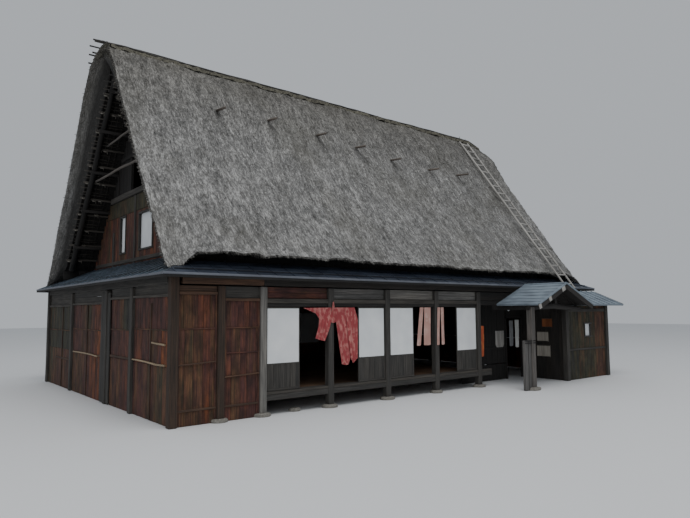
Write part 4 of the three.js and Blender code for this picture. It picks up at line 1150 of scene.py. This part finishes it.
# Porch post on its stone with a boarded side, and the beams that carry the porch roof
def porch_frame():
    b = Build(facing(PORCH_LINE))
    b.stud(PORCH_POST, 0.07, 2.3, 0.17, 0, 0.17, 0, 0.4, 0.012, 0.004)
    b.stud(PORCH_POST, 0.0, 0.085, 0.33, 0, 0.33, 1, 0.5, 0.02)
    b.stud(9.64, 0.005, 1.37, 0.295, 0, 0.09, 0, 0.1, 0.008, 0.003)
    b.stud(9.64, 0.005, 1.37, 0.012, 0.049, 0.008, 3, 0.1, 0.002)
    for z in (1.30, 1.36):
        b.bar((9.50, -1.444, z), (9.94, -1.49, z), 0.03, 0.012, UP, 3, 0.2, 0.002)
    middle = (PORCH_RIDGE, PORCH_LINE, 2.335)
    # The porch logs are dark timber: painted shade under the porch roof
    b.log((9.76, PORCH_LINE, 2.27), middle, 0.075, 0.08, 2, 0.4, 12, 0.01)
    b.log(middle, (12.41, PORCH_LINE, 2.26), 0.08, 0.07, 2, 0.4, 12, 0.01)
    # The beam under the porch roof is near black: painted shade
    b.bar((PORCH_POST, -1.46, 2.29), (PORCH_POST, -0.11, 2.29), 0.15, 0.11, UP, 3, 0.4, 0.01, 0.004)
    b.bar((12.42, -1.46, 2.255), (12.42, -0.985, 2.255), 0.11, 0.11, UP, 2, 0.4, 0.01)
    b.stud(PORCH_RIDGE, 2.34, 2.9, 0.11, 0, 0.11, 2, 0.4, 0.01)
    b.bar((PORCH_RIDGE, -1.46, 2.85), (PORCH_RIDGE, -0.4, 2.85), 0.13, 0.11, UP, 3, 0.4, 0.01)
    b.make("porch_frame_timbers", (GREY, STONE, DARK, SOOT_AND_SHADE), "porch_frame")


# Ladder that leans on the front slope near its far end
def ladder():
    b = Build()
    run, rise, rungs = 3.66, 4.98, 19
    length = math.hypot(run, rise)

    def at(x, y, d):
        return Vector((x, y - rise / length * d, 3.45 + (y + 0.05) * rise / run + run / length * d))

    for x, x_low in ((13.43, 13.42), (13.9, 13.91)):
        b.bar(at(x_low, -0.445, 0.033), at(x, 3.975, 0.033), 0.06, 0.056, ACROSS, 0, 0.8, 0.012, 0.004)
    for k in range(rungs):
        y = -0.45 + 4.43 * (k + 0.5) / rungs
        start = at(13.41, y, 0.045 + rng.uniform(-0.008, 0.01))
        b.log(start, at(13.92, y + rng.uniform(-0.02, 0.02), 0.045), 0.026, 0.024, 0, 1.0, 7, 0.002)
    b.make("ladder_poles", (GREY_POLE,), "ladder", smooth=True)


# Cloth: a grid between two edge curves of (share of the drop, x, z), with folds that grow downward
def hanging(left, right, rows, columns, folds, depth, y):
    def edge(curve, t):
        shares, xs, zs = zip(*curve)
        return float(np.interp(t, shares, xs)), float(np.interp(t, shares, zs))

    grid = []
    for i in range(rows + 1):
        t = i / rows
        (lx, lz), (rx, rz) = edge(left, t), edge(right, t)
        row = []
        for k in range(columns + 1):
            u = k / columns
            wave = math.sin(u * folds * 2 * math.pi + 1.3 * t) * depth * min(1.0, 0.25 + t)
            wave += 0.006 * wander(u * 3, t * 4, y * 9 + lx)
            row.append((lx + (rx - lx) * u, y + wave, lz + (rz - lz) * u - 0.01 * math.sin(u * math.pi) * t))
        grid.append(row)
    return grid


def cloths():
    beam, recess_wall = ["head_front_timbers"], ["wall_recess_back_boards"]
    curtain, strip, door = (0.012, -0.102), (20, 6, 1.2, 0.007, -0.101), (18, 7, 1.8, 0.009, 0.655)
    red = [([(0, 3.0, 2.29), (0.2, 3.12, 2.25), (0.38, 3.34, 2.17), (0.55, 3.45, 2.04), (0.75, 3.43, 1.86),
             (1, 3.34, 1.6)],
            [(0, 3.8, 2.30), (0.2, 3.8, 2.22), (0.38, 3.81, 2.1), (0.55, 3.8, 1.98), (0.75, 3.75, 1.8),
             (1, 3.62, 1.53)], 26, 20, 4.0, *curtain),
           ([(0, 3.9, 2.30), (0.2, 3.92, 2.05), (1, 4.11, 0.97)],
            [(0, 4.2, 2.30), (0.9, 4.37, 1.1), (1, 4.31, 0.95)], 30, 16, 3.2, *curtain),
           ([(0, 4.2, 2.30), (0.9, 4.385, 1.1), (1, 4.45, 0.98)],
            [(0, 4.5, 2.30), (0.2, 4.6, 2.02), (0.6, 4.61, 1.5), (1, 4.6, 1.11)], 30, 16, 3.0, *curtain),
           ([(0, 3.83, 2.43), (0.45, 3.80, 2.22), (0.75, 3.75, 2.08), (1, 3.80, 1.95)],
            [(0, 3.87, 2.44), (0.45, 3.90, 2.22), (0.75, 3.96, 2.08), (1, 3.92, 1.96)],
            18, 10, 2.2, 0.018, -0.116)]
    pink_left = [
        ([(0, 6.80, 2.3), (1, 6.68, 1.3)], [(0, 6.95, 2.3), (1, 6.82, 1.3)], 20, 6, 1.3, 0.008, -0.061),
        ([(0, 6.97, 2.3), (1, 6.95, 1.3)], [(0, 7.22, 2.3), (1, 7.21, 1.3)], 20, 8, 2.0, 0.009, -0.061)]
    pink_right = [([(0, 7.45, 2.3), (1, 7.42, 1.29)], [(0, 7.56, 2.3), (1, 7.51, 1.29)], *strip),
                  ([(0, 7.58, 2.3), (1, 7.61, 1.29)], [(0, 7.7, 2.3), (1, 7.72, 1.30)], *strip)]
    banner = [([(0, 9.36, 1.755), (0.5, 9.37, 1.3), (1, 9.375, 0.87)],
               [(0, 9.565, 1.75), (0.5, 9.57, 1.3), (1, 9.55, 0.87)], 20, 8, 1.2, 0.008, 0.0)]
    white = [([(0, 12.05, 1.89), (1, 12.07, 1.0)], [(0, 12.27, 1.89), (1, 12.24, 0.99)], *door)]
    grey = [([(0, 11.73, 1.87), (1, 11.75, 1.04)], [(0, 11.94, 1.87), (1, 11.93, 1.05)], *door)]
    for sheet, node, edges, material, held, rests, flat in (
            ("noren_red_cloth", "noren_red", red, RED_CLOTH, "gathered", beam, (1.66, 1.4)),
            ("noren_pink_left_cloth", "noren_pink_left", pink_left, PINK_CLOTH, "hung", beam, (0.42, 1.02)),
            ("noren_pink_right_cloth", "noren_pink_right", pink_right, PINK_CLOTH, "hung", ["post_e_timber"],
             (0.24, 1.02)),
            ("banner_cloth", "banner", banner, ORANGE_CLOTH, "hung", ["post_f_timber"], (0.22, 0.9)),
            ("door_cloth_sheet", "door_cloth", white, WHITE_CLOTH, "hung", recess_wall, (0.22, 0.92)),
            ("door_cloth_grey", "door_cloth", grey, GREY_CLOTH, "hung", recess_wall, (0.22, 0.84))):
        b = Build()
        for edge_pair in edges:
            b.grid(hanging(*edge_pair))
        piece = b.make(sheet, (material,), node, smooth=True)
        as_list(rests)


# Pale floor, even sky light, one large soft key light and one weak fill
def stage():
    world = bpy.data.worlds.new("studio")
    bpy.context.scene.world = world
    world.use_nodes = True
    sky = world.node_tree.nodes["Background"].inputs
    sky["Color"].default_value = rgb("#e3e8ee")
    sky["Strength"].default_value = 0.62
    bpy.ops.mesh.primitive_plane_add(size=160, location=(0, 0, -0.002))
    floor = bpy.context.object
    floor.name = "studio_floor"
    shade = Shade("studio_floor", 0.9)
    shade.bsdf.inputs["Base Color"].default_value = rgb("#d9dadb")
    floor.data.materials.append(shade.mat)
    for name, place, aim, energy, size in (("key", (-8, -16, 34), (0, 0, 4), 6400, 22),
                                           ("fill", (-24, -22, 9), (0, 0, 2), 900, 14)):
        data = bpy.data.lights.new(name, "AREA")
        data.energy = energy
        data.size = size
        light = placed(name, data)
        light.location = place
        light.rotation_euler = (Vector(aim) - Vector(place)).to_track_quat("-Z", "Y").to_euler()


wall_front_left()
wall_gable(LEFT, "left", False)
wall_gable(RIGHT, "right", True)
wall_back()
front_posts()
sill_and_floor()
head_front()
panels()
papers()
pent_roofs()
thatch("front", False)
thatch("back", True)
reeds("front", False, 26000, 9000)
reeds("back", True, 16000, 6000)
ridge_cap()
pins()
roof_frame("front", False)
roof_frame("back", True)
gable_upper("left", 1.03, -1)
gable_upper("right", LENGTH - 1.03, 1)
gable_poles()
recess()
annex()
small_roofs()
porch_frame()
ladder()
cloths()
stage()
